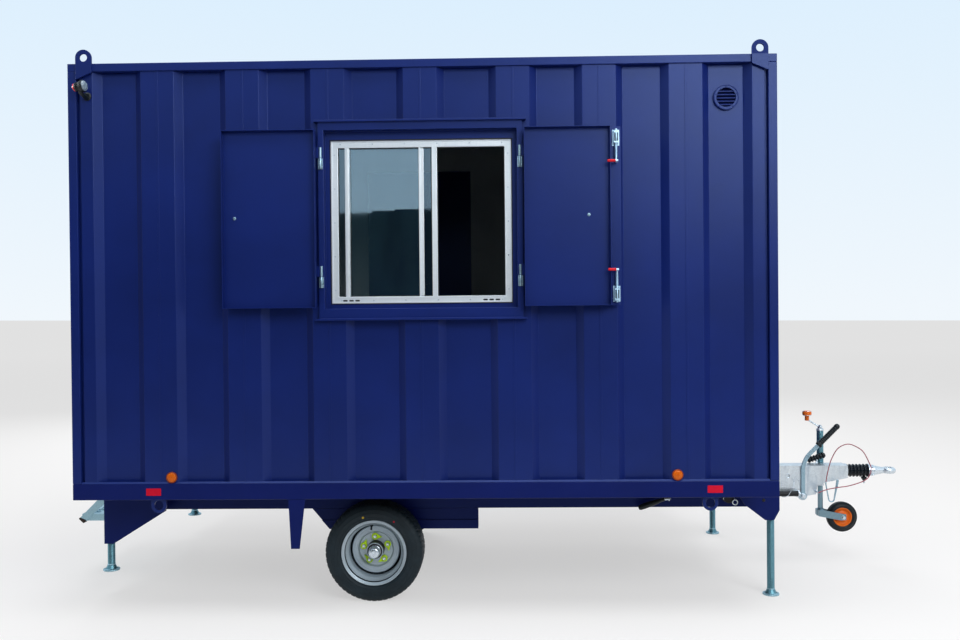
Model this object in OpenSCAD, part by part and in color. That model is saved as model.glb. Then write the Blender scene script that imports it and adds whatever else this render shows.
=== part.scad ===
// Towable site cabin: corrugated steel box on a single-axle trailer chassis.
// +X points to the tow eye, the window side is at -Y, the ground is at z = 0.

/* [Cabin body] */
// Length over the corner posts
body_l = 3660; // [3400:10:4200]
// Width over the bottom frame
body_w = 2290; // [2200:10:2400]
// Height from the underside of the bottom frame to the roof edge
body_h = 2270; // [2200:10:2500]
// Height of the bottom frame's underside above the tyres
tyre_room = 85; // [60:5:120]
// Width of the bottom and top frame members
ring_w = 83; // [75:1:100]
// Height of the bottom frame
sill_h = 85; // [70:1:110]
// Height of the top frame
cornice_h = 42; // [35:1:60]
// Side of a corner post
post_w = 46; // [40:1:60]
// Thickness of the roof at its ribs
roof_t = 72; // [60:1:90]

/* [Corrugated walls] */
// Set-back of the rib faces from the frame's outer face
skin_set = 8; // [4:1:15]
// Depth of the corrugation
rib_d = 36; // [20:1:40]
// Run of one sloping web
web_run = 38; // [25:1:50]
// Number of bays on each half of a long side
half_bays = 4; // [3:1:5]
// Width of the gap between a corner post and the wall sheet
groove_w = 16; // [10:1:20]
// Number of bays along an end
end_bays = 5; // [4:1:6]
// Height of the pressed roof ribs
roof_rib = 18; // [10:1:25]

/* [Window] */
// Width over the window surround
win_w = 1054; // [900:2:1100]
// Distance of the surround's head under the roof edge
win_head = 324; // [280:2:400]
// Height of the surround's underside above the bottom frame's underside
win_up = 936; // [850:2:1000]
// Stand-out of the surround from the frame's outer face
win_out = 15; // [10:1:20]
// Face width of the surround
win_face = 30; // [26:1:36]
// Height of the surround's sill face
sill_face = 50; // [40:1:60]
// Height of the surround's head face
head_face = 40; // [35:1:50]
// Depth of the rebate that takes the closed shutters
rebate_d = 54; // [50:1:60]
// Width of the inner lip that carries the window frame
lip_w = 27; // [20:1:32]
// Visible width of the window frame's bars
bar_w = 36; // [30:1:42]
// Width of the fixed meeting stile
stile_w = 28; // [24:1:34]
// Width of the sliding sash
sash_w = 410; // [360:2:420]
// Width of a sash stile
sash_bar = 25; // [18:1:26]
// Distance of the open sash from the frame's rear jamb
sash_open = 36; // [10:1:60]

/* [Shutters] */
// Gap between a closed shutter and the rebate
shut_gap = 6; // [5:1:8]
// Width of the rear shutter
rear_leaf_w = 478; // [380:1:486]
// Distance between the shutters when closed
leaf_meet = 12; // [8:1:20]
// Depth of a shutter tray
tray_d = 40; // [30:1:44]
// Thickness of the shutter sheet
sheet_t = 3; // [2:0.5:5]
// Width of the front shutter's bolt strip
strip_w = 55; // [48:1:60]
// Outer radius of a hinge barrel
knuckle_r = 7; // [6:0.5:8]
// Radius of a hinge pin
pin_r = 4; // [3:0.5:5]
// Length of one hinge
hinge_l = 112; // [90:2:130]
// Clearance around a pin
pin_gap = 0.3; // [0.2:0.1:0.6]

/* [Doors] */
// Width of a doorway
door_w = 850; // [760:10:900]
// Distance of a doorway's head under the roof edge
door_head = 215; // [150:5:300]
// Distance of the side door's middle behind the cabin's middle
door_back = 195; // [100:5:300]
// Face width of a door frame
jamb_w = 40; // [35:1:50]
// Thickness of a door leaf
leaf_t = 46; // [40:1:50]
// Gap around a door leaf
door_gap = 7; // [5:1:8]

/* [Chassis] */
// Distance from the middle to the outer face of a chassis rail
rail_y = 635; // [600:5:650]
// Width of a chassis rail
rail_w = 60; // [50:1:80]
// Depth of a chassis rail
rail_h = 155; // [140:1:165]
// Distance of the axle behind the cabin's middle
axle_back = 300; // [250:5:350]
// Depth of the axle brackets
bracket_h = 115; // [105:1:125]
// Side of the axle tube
tube_s = 80; // [70:1:90]
// Distance of the axle tube ahead of the wheel's middle
arm_run = 140; // [130:1:160]
// Thickness of a suspension arm
arm_t = 20; // [16:1:24]
// Radius of the stub axle
stub_r = 20; // [16:1:22]

/* [Road wheels] */
// Outer diameter of a tyre
tyre_d = 540; // [520:1:580]
// Width of a tyre
tyre_w = 195; // [175:1:205]
// Gap between a chassis rail and the tyre
tyre_gap = 35; // [32:1:60]
// Diameter over the rim's edge
rim_d = 358; // [350:1:366]
// Diameter of the circle of wheel nuts
nut_pcd = 140; // [120:1:150]

/* [Prop legs] */
// Radius of a leg tube
leg_r = 20.5; // [18:0.5:22]
// Clearance of a leg in its sleeve
leg_gap = 0.4; // [0.3:0.1:0.8]
// Radius of a foot
foot_r = 45; // [40:1:55]
// Distance of the legs outside the chassis rails
leg_out = 90; // [80:1:100]
// Height of the raised rear feet above the ground
rear_foot_up = 148; // [80:2:200]

/* [Tow gear] */
// Reach of the tow eye ahead of the cabin
tow_reach = 1060; // [1000:5:1200]
// Distance of the tow shaft under the bottom frame's underside
tow_drop = 60; // [45:5:75]
// Radius of the tow shaft
shaft_r = 25; // [22:1:30]
// Outer radius of the tow ring
ring_r = 43; // [40:1:50]
// Radius of the hole in the tow ring
eye_r = 20; // [18:0.5:21]
// Thickness of the tow ring
ring_t = 36; // [30:1:40]
// Width of the drawbar
bar_y = 100; // [80:2:120]
// Thickness of the coupling housing's plates
plate_t = 8; // [6:1:10]
// Radius of the jockey wheel's outer tube
jockey_r = 21; // [20:0.5:24]
// Radius of the jockey wheel's inner tube
stem_r = 16; // [14:0.5:18]
// Diameter of the jockey wheel
jockey_d = 190; // [180:2:210]
// Width of the jockey wheel
jockey_w = 50; // [40:1:60]
// Trail of the jockey wheel
jockey_trail = 134; // [115:1:140]

/* [Fittings] */
// Reach of the entry step behind the cabin
step_out = 330; // [300:5:360]
// Width of the entry step
step_w = 690; // [600:10:800]
// Distance of the step's tread under the bottom frame's underside
step_drop = 240; // [220:5:280]
// Radius of a lifting eye's plate
lift_r = 42; // [40:1:50]
// Radius of the hole in a lifting eye
lift_hole = 20; // [16:1:22]
// Thickness of a lifting eye
lift_t = 12; // [10:1:16]
// Radius of a lashing ring's plate
lash_r = 40; // [36:1:46]
// Radius of the hole in a lashing ring
lash_hole = 24; // [18:1:26]
// Length of the axle brackets behind the axle's middle
bracket_back = 379; // [360:1:400]
// Length of the axle brackets ahead of the axle's middle
bracket_front = 570; // [540:1:600]
// Distance of the splash plates behind the axle's middle
flap_back = 403; // [390:1:420]
// Depth of the splash plates under the frame
flap_h = 258; // [240:1:280]
// Depth of the rear leg brackets under the frame
gusset_h = 322; // [300:1:330]
// Length of the rear leg brackets along the frame
gusset_l = 326; // [300:1:350]
// Depth of the drawbar under the tow eye's middle
bar_drop = 75; // [70:1:80]
// Distance of the coupling's foot behind the tow eye's tip
housing_foot = 560; // [550:1:570]
// Distance of the coupling's pin hole behind the tow eye's tip
pin_hole_back = 692; // [680:1:700]
// Depth of the coupling's lip under the tow eye's middle
housing_lip = 88; // [84:1:92]
// Distance of the cable's pin behind the tow eye's tip
cable_pin_back = 522; // [520:1:524]
// Depth of the cable's pin under the tow eye's middle
cable_pin_drop = 118; // [116:1:120]
// Distance of a side reflector from the cabin's end
reflector_in = 520; // [500:1:540]
// Distance of a marker lamp from the cabin's rear end
lamp_in = 105; // [102:1:120]
// Depth of a marker lamp under the cabin's top
lamp_drop = 133; // [125:1:145]
// Distance of a lashing ring's middle under the bottom frame
lash_drop = 34; // [30:1:40]
// Radius of the vent's rim
vent_r = 65; // [55:1:72]
// Reach of the marker lamps outside the frame
lamp_out = 100; // [98:1:110]

/* [Hidden] */
$fn = 64;
navy = [0.09, 0.15, 0.39];
galv = [0.62, 0.66, 0.70];
alu = [0.78, 0.82, 0.86];
black = [0.09, 0.09, 0.10];
orange = [0.93, 0.42, 0.12];
half_l = body_l / 2;
half_w = body_w / 2;
ride_h = tyre_d + tyre_room;
top_z = ride_h + body_h;
wall_z0 = ride_h + sill_h;
wall_z1 = top_z - cornice_h;
in_x = half_l - ring_w;
in_y = half_w - ring_w;
post_x = half_l - post_w;
post_y = half_w - post_w;
crest_y = half_w - skin_set;
bay = post_x / half_bays;
crest_w = bay * 0.193;
end_crest = bay * 0.18;
tow_tip = half_l + tow_reach;
tow_z = ride_h - tow_drop;
step_z = ride_h - step_drop;
step_tip = half_l + step_out;
origin_x = (tow_tip - step_tip) / 2;

win_z0 = ride_h + win_up;
win_z1 = top_z - win_head;
win_front = half_w + win_out;
reb_x = win_w / 2 - win_face;
reb_z0 = win_z0 + sill_face;
reb_z1 = win_z1 - head_face;
reb_y = win_front - rebate_d;
open_x = reb_x - lip_w;
open_z0 = reb_z0 + lip_w;
open_z1 = reb_z1 - lip_w - 19;
glass_x = open_x - bar_w;
glass_z0 = open_z0 + bar_w;
glass_z1 = open_z1 - bar_w;
frame_y0 = reb_y - 12;
frame_y1 = in_y - 4;
stile_x = 55;
sash_x0 = -glass_x + sash_open;

hinge_x = win_w / 2 - win_face / 2;
hinge_y = win_front + knuckle_r + 2;
leaf_edge = hinge_x - (reb_x - shut_gap);
leaf_dy = knuckle_r + 8;
front_leaf_w = 2 * (reb_x - shut_gap) - leaf_meet - rear_leaf_w;
leaf_z0 = reb_z0 + shut_gap;
leaf_z1 = reb_z1 - shut_gap;
low_hinge = leaf_z0 + 103;
high_hinge = leaf_z1 - 83 - hinge_l;

door_x0 = -door_back - door_w / 2;
door_x1 = -door_back + door_w / 2;
door_z1 = top_z - door_head;
door_out = half_w + 6;

rail_z = ride_h - rail_h;
rail_x0 = -half_l + 16;
rail_x1 = half_l + 112;
axle_x = -axle_back;
hub_z = tyre_d / 2;
bracket_z = rail_z - bracket_h;
tube_z = bracket_z - tube_s / 2;
tube_x = axle_x + arm_run;
tyre_y = rail_y + tyre_gap + tyre_w / 2;
tube_y = rail_y + 5;
disc_y = tyre_y - 19;

leg_y = rail_y + leg_out;
front_leg_x = half_l + 70;
rear_leg_x = -half_l + 24;
sleeve_s = 26;
leg_l = ride_h - 9 - rear_foot_up;
front_leg_l = ride_h - 5;

housing_x0 = tow_tip - 783;
nose_x = tow_tip - 318;
collar_x = tow_tip - 168;
housing_y = bar_y / 2 + plate_t;
housing_z1 = tow_z + 40;
brake_x = housing_x0 + 183;
brake_z = tow_z - 147;
lever_y0 = housing_y + 5;
lever_y1 = lever_y0 + 10;
bend_r = 150;
bend_z = tow_z + 12;
grip_run = 75;
grip_l = 162;
jockey_x = housing_x0 + 341;
jockey_y = housing_y + jockey_r + 8;
jockey_top = tow_z + 255;
fork_z = tow_z - 258;
jwheel_x = jockey_x + jockey_trail;
jwheel_z = fork_z - 53;
cable_y = -110;
cable_splay = 9;
pin_x = tow_tip - cable_pin_back;
pin_z = tow_z - cable_pin_drop;

// Middle of a rib of a long side, counted from the window's middle
function rib_x(k) = sign(k) * bay * (1.074 + 0.993 * (abs(k) - 1)) * min(abs(k), 1);

// Points of a long side's skin, with a groove beside each corner post
function long_skin(face, depth) = let (g = post_x - groove_w, e = post_x - end_crest) concat(
  [[-post_x, face + depth], [-g, face + depth], [-g, face], [-e, face], [-e + web_run, face + depth]],
  [for (k = [1 - half_bays:half_bays - 1]) let (c = rib_x(k))
    each [[c - crest_w - web_run, face + depth], [c - crest_w, face],
      [c + crest_w, face], [c + crest_w + web_run, face + depth]]],
  [[e - web_run, face + depth], [e, face], [g, face], [g, face + depth], [post_x, face + depth]]);

// Points of an evenly ribbed skin, half a rib at each end
function skin(n, span, face, depth) = let (p = span / n, f = (p - 2 * web_run) / 2) concat(
  [[-span / 2, face]],
  [for (k = [0:n - 1]) let (u = -span / 2 + k * p)
    each [[u + f / 2, face], [u + f / 2 + web_run, face + depth],
      [u + f / 2 + web_run + f, face + depth], [u + p - f / 2, face]]],
  [[span / 2, face]]);

// Points on an arc
function arc(c, r, a0, a1, n) = [for (i = [0:n]) let (a = a0 + (a1 - a0) * i / n)
  [c[0] + r * cos(a), c[1] + r * sin(a)]];

// Box between two corners
module box(x0, x1, y0, y1, z0, z1) {
  translate([x0, y0, z0]) cube([x1 - x0, y1 - y0, z1 - z0]);
}

// Flat plate with an outline in x and z, between two y values
module side_plate(y0, y1, points) {
  translate([0, y1, 0]) rotate([90, 0, 0]) linear_extrude(y1 - y0) polygon(points);
}

// Round bars along the three axes
module rod_x(x0, x1, y, z, r) {
  translate([x0, y, z]) rotate([0, 90, 0]) cylinder(h = x1 - x0, r = r);
}

module rod_y(x, y0, y1, z, r) {
  translate([x, y0, z]) rotate([-90, 0, 0]) cylinder(h = y1 - y0, r = r);
}

module rod_z(x, y, z0, z1, r) {
  translate([x, y, z0]) cylinder(h = z1 - z0, r = r);
}

// The same piece on both long sides
module both_sides() {
  children();
  mirror([0, 1, 0]) children();
}

// Puts the middle of the part's length at x = 0
module place() {
  translate([-origin_x, 0, 0]) children();
}

// Rectangular ring seen from above
module ring_frame(z0, z1) {
  difference() {
    box(-half_l, half_l, -half_w, half_w, z0, z1);
    box(-in_x, in_x, -in_y, in_y, z0 - 1, z1 + 1);
  }
}

module bottom_frame() {
  color(navy) ring_frame(ride_h, wall_z0);
}

module floor() {
  color([0.45, 0.38, 0.30]) box(-in_x, in_x, -in_y, in_y, ride_h + 15, wall_z0);
}

module corner_posts() {
  color(navy) for (x = [-half_l, post_x]) both_sides() box(x, x + post_w, -half_w, -post_y, wall_z0, wall_z1);
}

module top_frame() {
  color(navy) ring_frame(wall_z1, top_z);
}

// Roof panel with shallow pressed ribs across the width
module roof() {
  points = skin(2 * half_bays, 2 * in_x, 0, roof_rib);
  color(navy) translate([0, in_y, top_z - 8]) rotate([90, 0, 0]) linear_extrude(2 * in_y)
    polygon(concat([for (p = points) [p[0], -p[1]]], [[in_x, -roof_t], [-in_x, -roof_t]]));
}

// Long wall on the window side
module long_wall() {
  points = long_skin(-crest_y, rib_d);
  translate([0, 0, wall_z0]) linear_extrude(wall_z1 - wall_z0)
    polygon(concat(points, [[post_x, -in_y], [-post_x, -in_y]]));
}

// End wall at the tow end, stepped in to meet the linings of the long walls
module end_wall() {
  points = skin(end_bays, 2 * post_y, -half_l + skin_set, rib_d);
  translate([0, 0, wall_z0]) rotate([0, 0, 90]) linear_extrude(wall_z1 - wall_z0)
    polygon(concat(points, [[post_y, -post_x], [in_y, -post_x], [in_y, -in_x],
      [-in_y, -in_x], [-in_y, -post_x], [-post_y, -post_x]]));
}

module window_wall() {
  color(navy) difference() {
    long_wall();
    box(-win_w / 2, win_w / 2, -half_w, 0, win_z0, win_z1);
  }
}

module far_wall_part(x0, x1, z0, z1) {
  color(navy) intersection() {
    mirror([0, 1, 0]) long_wall();
    box(x0, x1, 0, half_w, z0, z1);
  }
}

module far_wall_rear() {
  far_wall_part(-half_l, door_x0, ride_h, top_z);
}

module far_wall_front() {
  far_wall_part(door_x1, half_l, ride_h, top_z);
}

module far_wall_over_door() {
  far_wall_part(door_x0, door_x1, door_z1, top_z);
}

module front_wall() {
  color(navy) end_wall();
}

module rear_wall() {
  color(navy) difference() {
    mirror([1, 0, 0]) end_wall();
    box(-half_l, 0, -door_w / 2, door_w / 2, ride_h, door_z1);
  }
}

// Door frame in a doorway centred on x = 0, outer face at y = 0, inside towards -y
module door_frame() {
  w = door_w / 2;
  difference() {
    box(-w, w, -ring_w, 0, wall_z0, door_z1);
    box(-w + jamb_w, w - jamb_w, -ring_w - 1, 1, wall_z0 + 20, door_z1 - jamb_w);
    box(-w + jamb_w - 12, w - jamb_w + 12, -leaf_t - 8, 1, wall_z0 + 20, door_z1 - jamb_w + 12);
  }
}

// Flush door leaf with a lever handle and two hinge lugs, same place as its frame
module door_leaf() {
  w = door_w / 2 - jamb_w + 12 - door_gap;
  z0 = wall_z0 + 20 + door_gap;
  z1 = door_z1 - jamb_w + 12 - door_gap;
  box(-w, w, -leaf_t - 2, -2, z0, z1);
  box(w - 78, w - 42, -2, 3, z0 + 930, z0 + 1110);
  rod_y(w - 60, 3, 28, z0 + 1055, 9);
  rod_x(w - 175, w - 51, 34, z0 + 1055, 8);
}

// Barrels on the leaf's hinge side, clear of the frame
module door_knuckles(grow) {
  for (z = [wall_z0 + 230, wall_z0 + 980, door_z1 - 330])
    rod_z(-door_w / 2 + jamb_w - 12, knuckle_r + 3, z, z + 60, pin_r + grow);
}

module hinged_leaf() {
  w = door_w / 2 - jamb_w + 12;
  difference() {
    union() {
      door_leaf();
      for (z = [wall_z0 + 230, wall_z0 + 980, door_z1 - 330]) {
        rod_z(-w, knuckle_r + 3, z + 61, z + 120, knuckle_r);
        box(-w, -w + 90, knuckle_r, knuckle_r + 6, z + 61, z + 120);
        box(-w + 12, -w + 90, -2, knuckle_r, z + 61, z + 120);
      }
    }
    for (z = [wall_z0 + 230, wall_z0 + 980, door_z1 - 330])
      rod_z(-w, knuckle_r + 3, z, z + 121, pin_r + pin_gap);
  }
}

module hinged_frame() {
  w = door_w / 2 - jamb_w + 12;
  door_frame();
  for (z = [wall_z0 + 230, wall_z0 + 980, door_z1 - 330]) {
    rod_z(-w, knuckle_r + 3, z, z + 60, knuckle_r);
    rod_z(-w, knuckle_r + 3, z, z + 118, pin_r);
    box(-w - 26, -w, 0, knuckle_r, z, z + 60);
  }
}

module rear_door_frame() {
  color(navy) translate([-half_l, 0, 0]) rotate([0, 0, 90]) hinged_frame();
}

module rear_door() {
  color(navy) translate([-half_l, 0, 0]) rotate([0, 0, 90]) hinged_leaf();
}

module side_door_frame() {
  color(navy) translate([-door_back, half_w, 0]) hinged_frame();
}

module side_door() {
  color(navy) translate([-door_back, half_w, 0]) hinged_leaf();
}

// Plate with a round eye over the roof edge, run down the frame with a slanted foot
module lifting_eye() {
  x = half_l - 47 - lift_r;
  z = top_z + 28;
  difference() {
    union() {
      rod_y(x, -half_w - lift_t, -half_w, z, lift_r);
      side_plate(-half_w - lift_t, -half_w, [[x - lift_r, z], [x - lift_r, top_z - 49],
        [x + lift_r, top_z - 85], [x + lift_r, z]]);
    }
    rod_y(x, -half_w - lift_t - 1, -half_w + 1, z, lift_hole);
  }
}

module lifting_eyes() {
  color(navy) both_sides() {
    lifting_eye();
    mirror([1, 0, 0]) lifting_eye();
  }
}

// Steel box round the window, with a drip over the head and a ledge at the sill
module window_surround() {
  w = win_w / 2;
  color(navy) difference() {
    union() {
      box(-w, w, -win_front, -in_y, win_z0, win_z1);
      box(-w - 18, w + 18, -win_front - 18, -crest_y, win_z1, win_z1 + 10);
      box(-w - 18, w + 18, -win_front - 18, -crest_y, win_z0 - 10, win_z0);
    }
    box(-reb_x, reb_x, -win_front - 1, -reb_y, reb_z0, reb_z1);
    box(-open_x, open_x, -reb_y - 1, -in_y + 1, open_z0, open_z1);
  }
}

// Fixed aluminium frame with its meeting stile
module window_frame() {
  color(alu) difference() {
    box(-open_x, open_x, -frame_y0, -frame_y1, open_z0, open_z1);
    box(-glass_x, stile_x, -frame_y0 - 1, -frame_y1 + 1, glass_z0, glass_z1);
    box(stile_x + stile_w, glass_x, -frame_y0 - 1, -frame_y1 + 1, glass_z0, glass_z1);
    box(stile_x - 1, glass_x, -frame_y0 + 20, -frame_y1 + 1, glass_z0, glass_z1);
    box(-glass_x, glass_x, -frame_y0 + 20, -frame_y1 + 1, glass_z0 - sash_bar, glass_z1 + sash_bar);
  }
}

module sliding_sash() {
  color(alu) difference() {
    box(sash_x0, sash_x0 + sash_w, -frame_y0 + 22, -frame_y1 - 2, glass_z0 - sash_bar, glass_z1 + sash_bar);
    box(sash_x0 + sash_bar, sash_x0 + sash_w - sash_bar, -half_w, 0, glass_z0, glass_z1);
  }
}

// Fixed pane in the outer track, and the pane of the open sash behind it
module window_glass() {
  color([0.35, 0.5, 0.6]) {
    box(-glass_x, stile_x, -frame_y0 + 10, -frame_y0 + 14, glass_z0, glass_z1);
    box(sash_x0 + sash_bar, sash_x0 + sash_w - sash_bar, -frame_y1 - 10, -frame_y1 - 6, glass_z0, glass_z1);
  }
}

// Fixed halves of the four shutter hinges, with their pins
module shutter_hinges() {
  color(galv) for (s = [-1, 1]) for (z = [low_hinge, high_hinge]) {
    rod_z(s * hinge_x, -hinge_y, z, z + hinge_l / 2 - 1, knuckle_r);
    rod_z(s * hinge_x, -hinge_y, z, z + hinge_l, pin_r);
    box(s * hinge_x - 12, s * hinge_x + 12, -win_front - 4, -win_front, z, z + hinge_l / 2 - 1);
  }
}

// Shutter in its closed place, hinge pin on the z axis, leaf towards +x, inside towards +y
module leaf(w, strip, stud) {
  y0 = leaf_dy;
  y1 = leaf_dy + tray_d;
  x0 = leaf_edge;
  x1 = leaf_edge + w;
  x2 = x1 - strip;
  difference() {
    union() {
      difference() {
        box(x0, x2, y0, y1, leaf_z0, leaf_z1);
        box(x0 + sheet_t, x2 - sheet_t, y0 + sheet_t, y1 + 1, leaf_z0 + sheet_t, leaf_z1 - sheet_t);
      }
      box(x2 - 1, x1, y0, y0 + sheet_t, leaf_z0, leaf_z1);
      for (z = [low_hinge, high_hinge]) {
        rod_z(0, 0, z + hinge_l / 2 + 1, z + hinge_l, knuckle_r);
        box(0, x0 + 13, -3, 3, z + hinge_l / 2 + 1, z + hinge_l);
        box(x0 + 1, x0 + 13, -3, y0, z + hinge_l / 2 + 1, z + hinge_l);
      }
      rod_y(x0 + (w - strip) * stud, y0, y0 + 9, (leaf_z0 + leaf_z1) / 2 + 8, 5);
    }
    for (z = [low_hinge, high_hinge]) rod_z(0, 0, z, z + hinge_l + 1, pin_r + pin_gap);
  }
}

// Slam bolt on the strip: keep, rod and a cranked grip
module bolt(dir) {
  x = leaf_edge + front_leaf_w - strip_w / 2 + 2;
  y = leaf_dy + sheet_t;
  z = dir > 0 ? leaf_z1 - 14 : leaf_z0 + 14;
  translate([x, y, z]) mirror([0, 0, dir > 0 ? 1 : 0]) {
    box(-18, 18, 0, 4, 4, 84);
    box(-12, 12, 4, 26, 10, 72);
    rod_z(0, 14, 0, 172, 6);
    rod_y(0, 14, 48, 166, 6);
    rod_x(-42, 6, 48, 166, 6);
  }
}

module rear_shutter() {
  color(navy) translate([-hinge_x, -hinge_y, 0]) rotate([0, 0, 180]) leaf(rear_leaf_w, 0, 0.88);
}

module front_shutter() {
  color(navy) translate([hinge_x, -hinge_y, 0]) rotate([0, 0, 180]) mirror([1, 0, 0])
    leaf(front_leaf_w, strip_w, 0.75);
}

module shutter_bolts() {
  color(galv) translate([hinge_x, -hinge_y, 0]) rotate([0, 0, 180]) mirror([1, 0, 0]) {
    bolt(1);
    bolt(-1);
  }
}

// Round louvred vent in the hollow of the corrugation
module wall_vent() {
  x = (post_x - end_crest + rib_x(half_bays - 1) + crest_w) / 2;
  z = top_z - 213;
  y = -crest_y + rib_d;
  color(black) {
    difference() {
      rod_y(x, y - 14, y, z, vent_r);
      rod_y(x, y - 15, y - 4, z, vent_r - 16);
    }
    intersection() {
      rod_y(x, y - 12, y - 3, z, vent_r - 15);
      for (k = [-2:2]) translate([x, y - 4, z + 17 * k]) rotate([35, 0, 0])
        box(-vent_r, vent_r, -9, 3, -2.5, 2.5);
    }
  }
}

module side_reflectors() {
  color([0.75, 0.31, 0.02]) for (s = [-1, 1]) both_sides()
    rod_y(s * (half_l - reflector_in), -crest_y - 10, -crest_y, wall_z0 + 32, 28);
}

// Outline lamps on short arms at the rear top corners
module marker_lamps() {
  x = -half_l + lamp_in;
  z = top_z - lamp_drop;
  color(black) both_sides() {
    box(x - 30, x + 10, -crest_y - 4, -crest_y, z - 60, z - 5);
    side_plate(-half_w - 62, -crest_y - 4, [[x - 18, z - 50], [x - 2, z - 50], [x - 2, z - 16], [x - 18, z - 16]]);
    rod_x(x - 44, x + 24, -half_w - 62, z, lamp_out - 62);
  }
}

// Welded rings under the bottom frame
module lashing_rings() {
  color(navy) for (x = [-half_l + 440, half_l - 347]) both_sides() difference() {
    union() {
      rod_y(x, -half_w + 30, -half_w + 44, ride_h - lash_drop, lash_r);
      box(x - lash_r, x + lash_r, -half_w + 30, -half_w + 44, ride_h - lash_drop, ride_h);
    }
    rod_y(x, -half_w + 29, -half_w + 45, ride_h - lash_drop, lash_hole);
    box(x - 100, x + 100, -half_w, 0, ride_h, ride_h + 100);
  }
}

module chassis_rails() {
  color(navy) both_sides() difference() {
    box(rail_x0, rail_x1, -rail_y, -rail_y + rail_w, rail_z, ride_h);
    box(rail_x0 - 1, rail_x1 + 1, -rail_y + 7, -rail_y + rail_w + 1, rail_z + 9, ride_h - 9);
  }
}

// Cross-members, in halves beside the drawbar where it passes
module chassis_crossmembers() {
  inner = rail_y - 7;
  color(navy) {
    for (x = [-half_l + 60, -half_l * 0.55]) box(x, x + 70, -inner, inner, ride_h - 100, ride_h - 9);
    for (x = [axle_x + 50, half_l * 0.28, half_l * 0.62, half_l - 130]) both_sides()
      box(x, x + 70, -inner, -bar_y / 2, ride_h - 100, ride_h - 9);
  }
}

// Deep brackets under the rails that carry the axle, with a strip along the foot
module axle_brackets() {
  x0 = axle_x - bracket_back;
  x1 = axle_x + bracket_front;
  color(navy) both_sides() {
    side_plate(-rail_y, -rail_y + rail_w, [[x0, rail_z], [x1, rail_z], [x1, bracket_z], [x0 + 98, bracket_z]]);
    side_plate(-rail_y - 8, -rail_y, [[x0 + 55, bracket_z + 50], [x1, bracket_z + 50], [x1, bracket_z],
      [x0 + 98, bracket_z]]);
  }
}

// Square axle tube, trailing arms and stub axles
module axle() {
  color(navy) {
    box(tube_x - tube_s / 2, tube_x + tube_s / 2, -tube_y, tube_y, tube_z - tube_s / 2, bracket_z);
    both_sides() {
      side_plate(-tube_y - arm_t, -tube_y, [[tube_x + 40, tube_z + 34], [tube_x + 40, tube_z - 34],
        [axle_x - 10, hub_z - 34], [axle_x - 34, hub_z - 10], [axle_x - 34, hub_z + 10], [axle_x - 10, hub_z + 34]]);
      rod_y(axle_x, -disc_y - 20, -tube_y - arm_t, hub_z, stub_r);
    }
  }
}

// Splash plates behind the wheels: tapered plate with a narrow return
module mudflaps() {
  x = axle_x - flap_back;
  h = flap_h;
  y1 = -half_w + 4;
  color(navy) both_sides() {
    side_plate(y1, y1 + 5, [[x, ride_h], [x + 88, ride_h], [x + 57, ride_h - h], [x + 12, ride_h - h]]);
    side_plate(y1 + 5, y1 + 30, [[x, ride_h], [x + 5, ride_h], [x + 17, ride_h - h], [x + 12, ride_h - h]]);
  }
}

// Gusset plate and square sleeve for a leg, joined to the chassis rail
module leg_bracket(x, z0, points) {
  y = -leg_y;
  difference() {
    union() {
      box(x - sleeve_s, x + sleeve_s, y - sleeve_s, -rail_y, z0, ride_h - 4);
      side_plate(y - sleeve_s - 8, y - sleeve_s, points);
    }
    rod_z(x, y, z0 - 1, ride_h + 1, leg_r + leg_gap);
  }
}

module leg_brackets() {
  f = front_leg_x;
  r = rear_leg_x;
  color(navy) both_sides() {
    leg_bracket(f, ride_h - 150, [[f - 225, ride_h - 4], [f - 150, ride_h - 118], [f - 38, ride_h - 204],
      [f + 12, ride_h - 204], [f + 42, ride_h - 150], [f + 42, ride_h - 4]]);
    leg_bracket(r, ride_h - gusset_h, [[r - sleeve_s, ride_h - 4], [r - sleeve_s, ride_h - gusset_h],
      [r + sleeve_s, ride_h - gusset_h], [r + gusset_l, ride_h - 137], [r + gusset_l, ride_h - 4]]);
  }
}

// Leg tube with a flared foot
module leg(x, z0, len) {
  translate([x, 0, z0]) {
    difference() {
      cylinder(h = len, r = leg_r);
      translate([0, 0, 30]) cylinder(h = len, r = leg_r - 4);
    }
    cylinder(h = 8, r = foot_r);
    translate([0, 0, 8]) cylinder(h = 26, r1 = leg_r + 12, r2 = leg_r);
  }
}

module near_front_leg() {
  color(galv) translate([0, -leg_y, 0]) leg(front_leg_x, 0, front_leg_l);
}

module far_front_leg() {
  color(galv) translate([0, leg_y, 0]) leg(front_leg_x, 0, front_leg_l);
}

module near_rear_leg() {
  color(galv) translate([0, -leg_y, 0]) leg(rear_leg_x, rear_foot_up, leg_l);
}

module far_rear_leg() {
  color(galv) translate([0, leg_y, 0]) leg(rear_leg_x, rear_foot_up, leg_l);
}

// Tyre about the z axis, centred on z = 0, with grooves round the tread
module tyre() {
  r = tyre_d / 2;
  h = tyre_w / 2;
  b = rim_d / 2 - 12;
  side = concat([[b, h - 24], [b + 12.5, h - 24], [b + 14, h - 14], [b + 24, h - 4], [b + 46, h], [b + 62, h - 2]],
    arc([r - 22, h - 26], 22, 70, 12, 4));
  tread = [[r, h - 34], [r, h - 42], [r - 7, h - 43], [r - 7, h - 49], [r, h - 50], [r, h - 74],
    [r - 7, h - 75], [r - 7, h - 82], [r, h - 83]];
  half = concat(side, tread);
  rotate_extrude($fn = 96) polygon(concat(half, [for (i = [len(half) - 1:-1:0]) [half[i][0], -half[i][1]]]));
}

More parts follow.
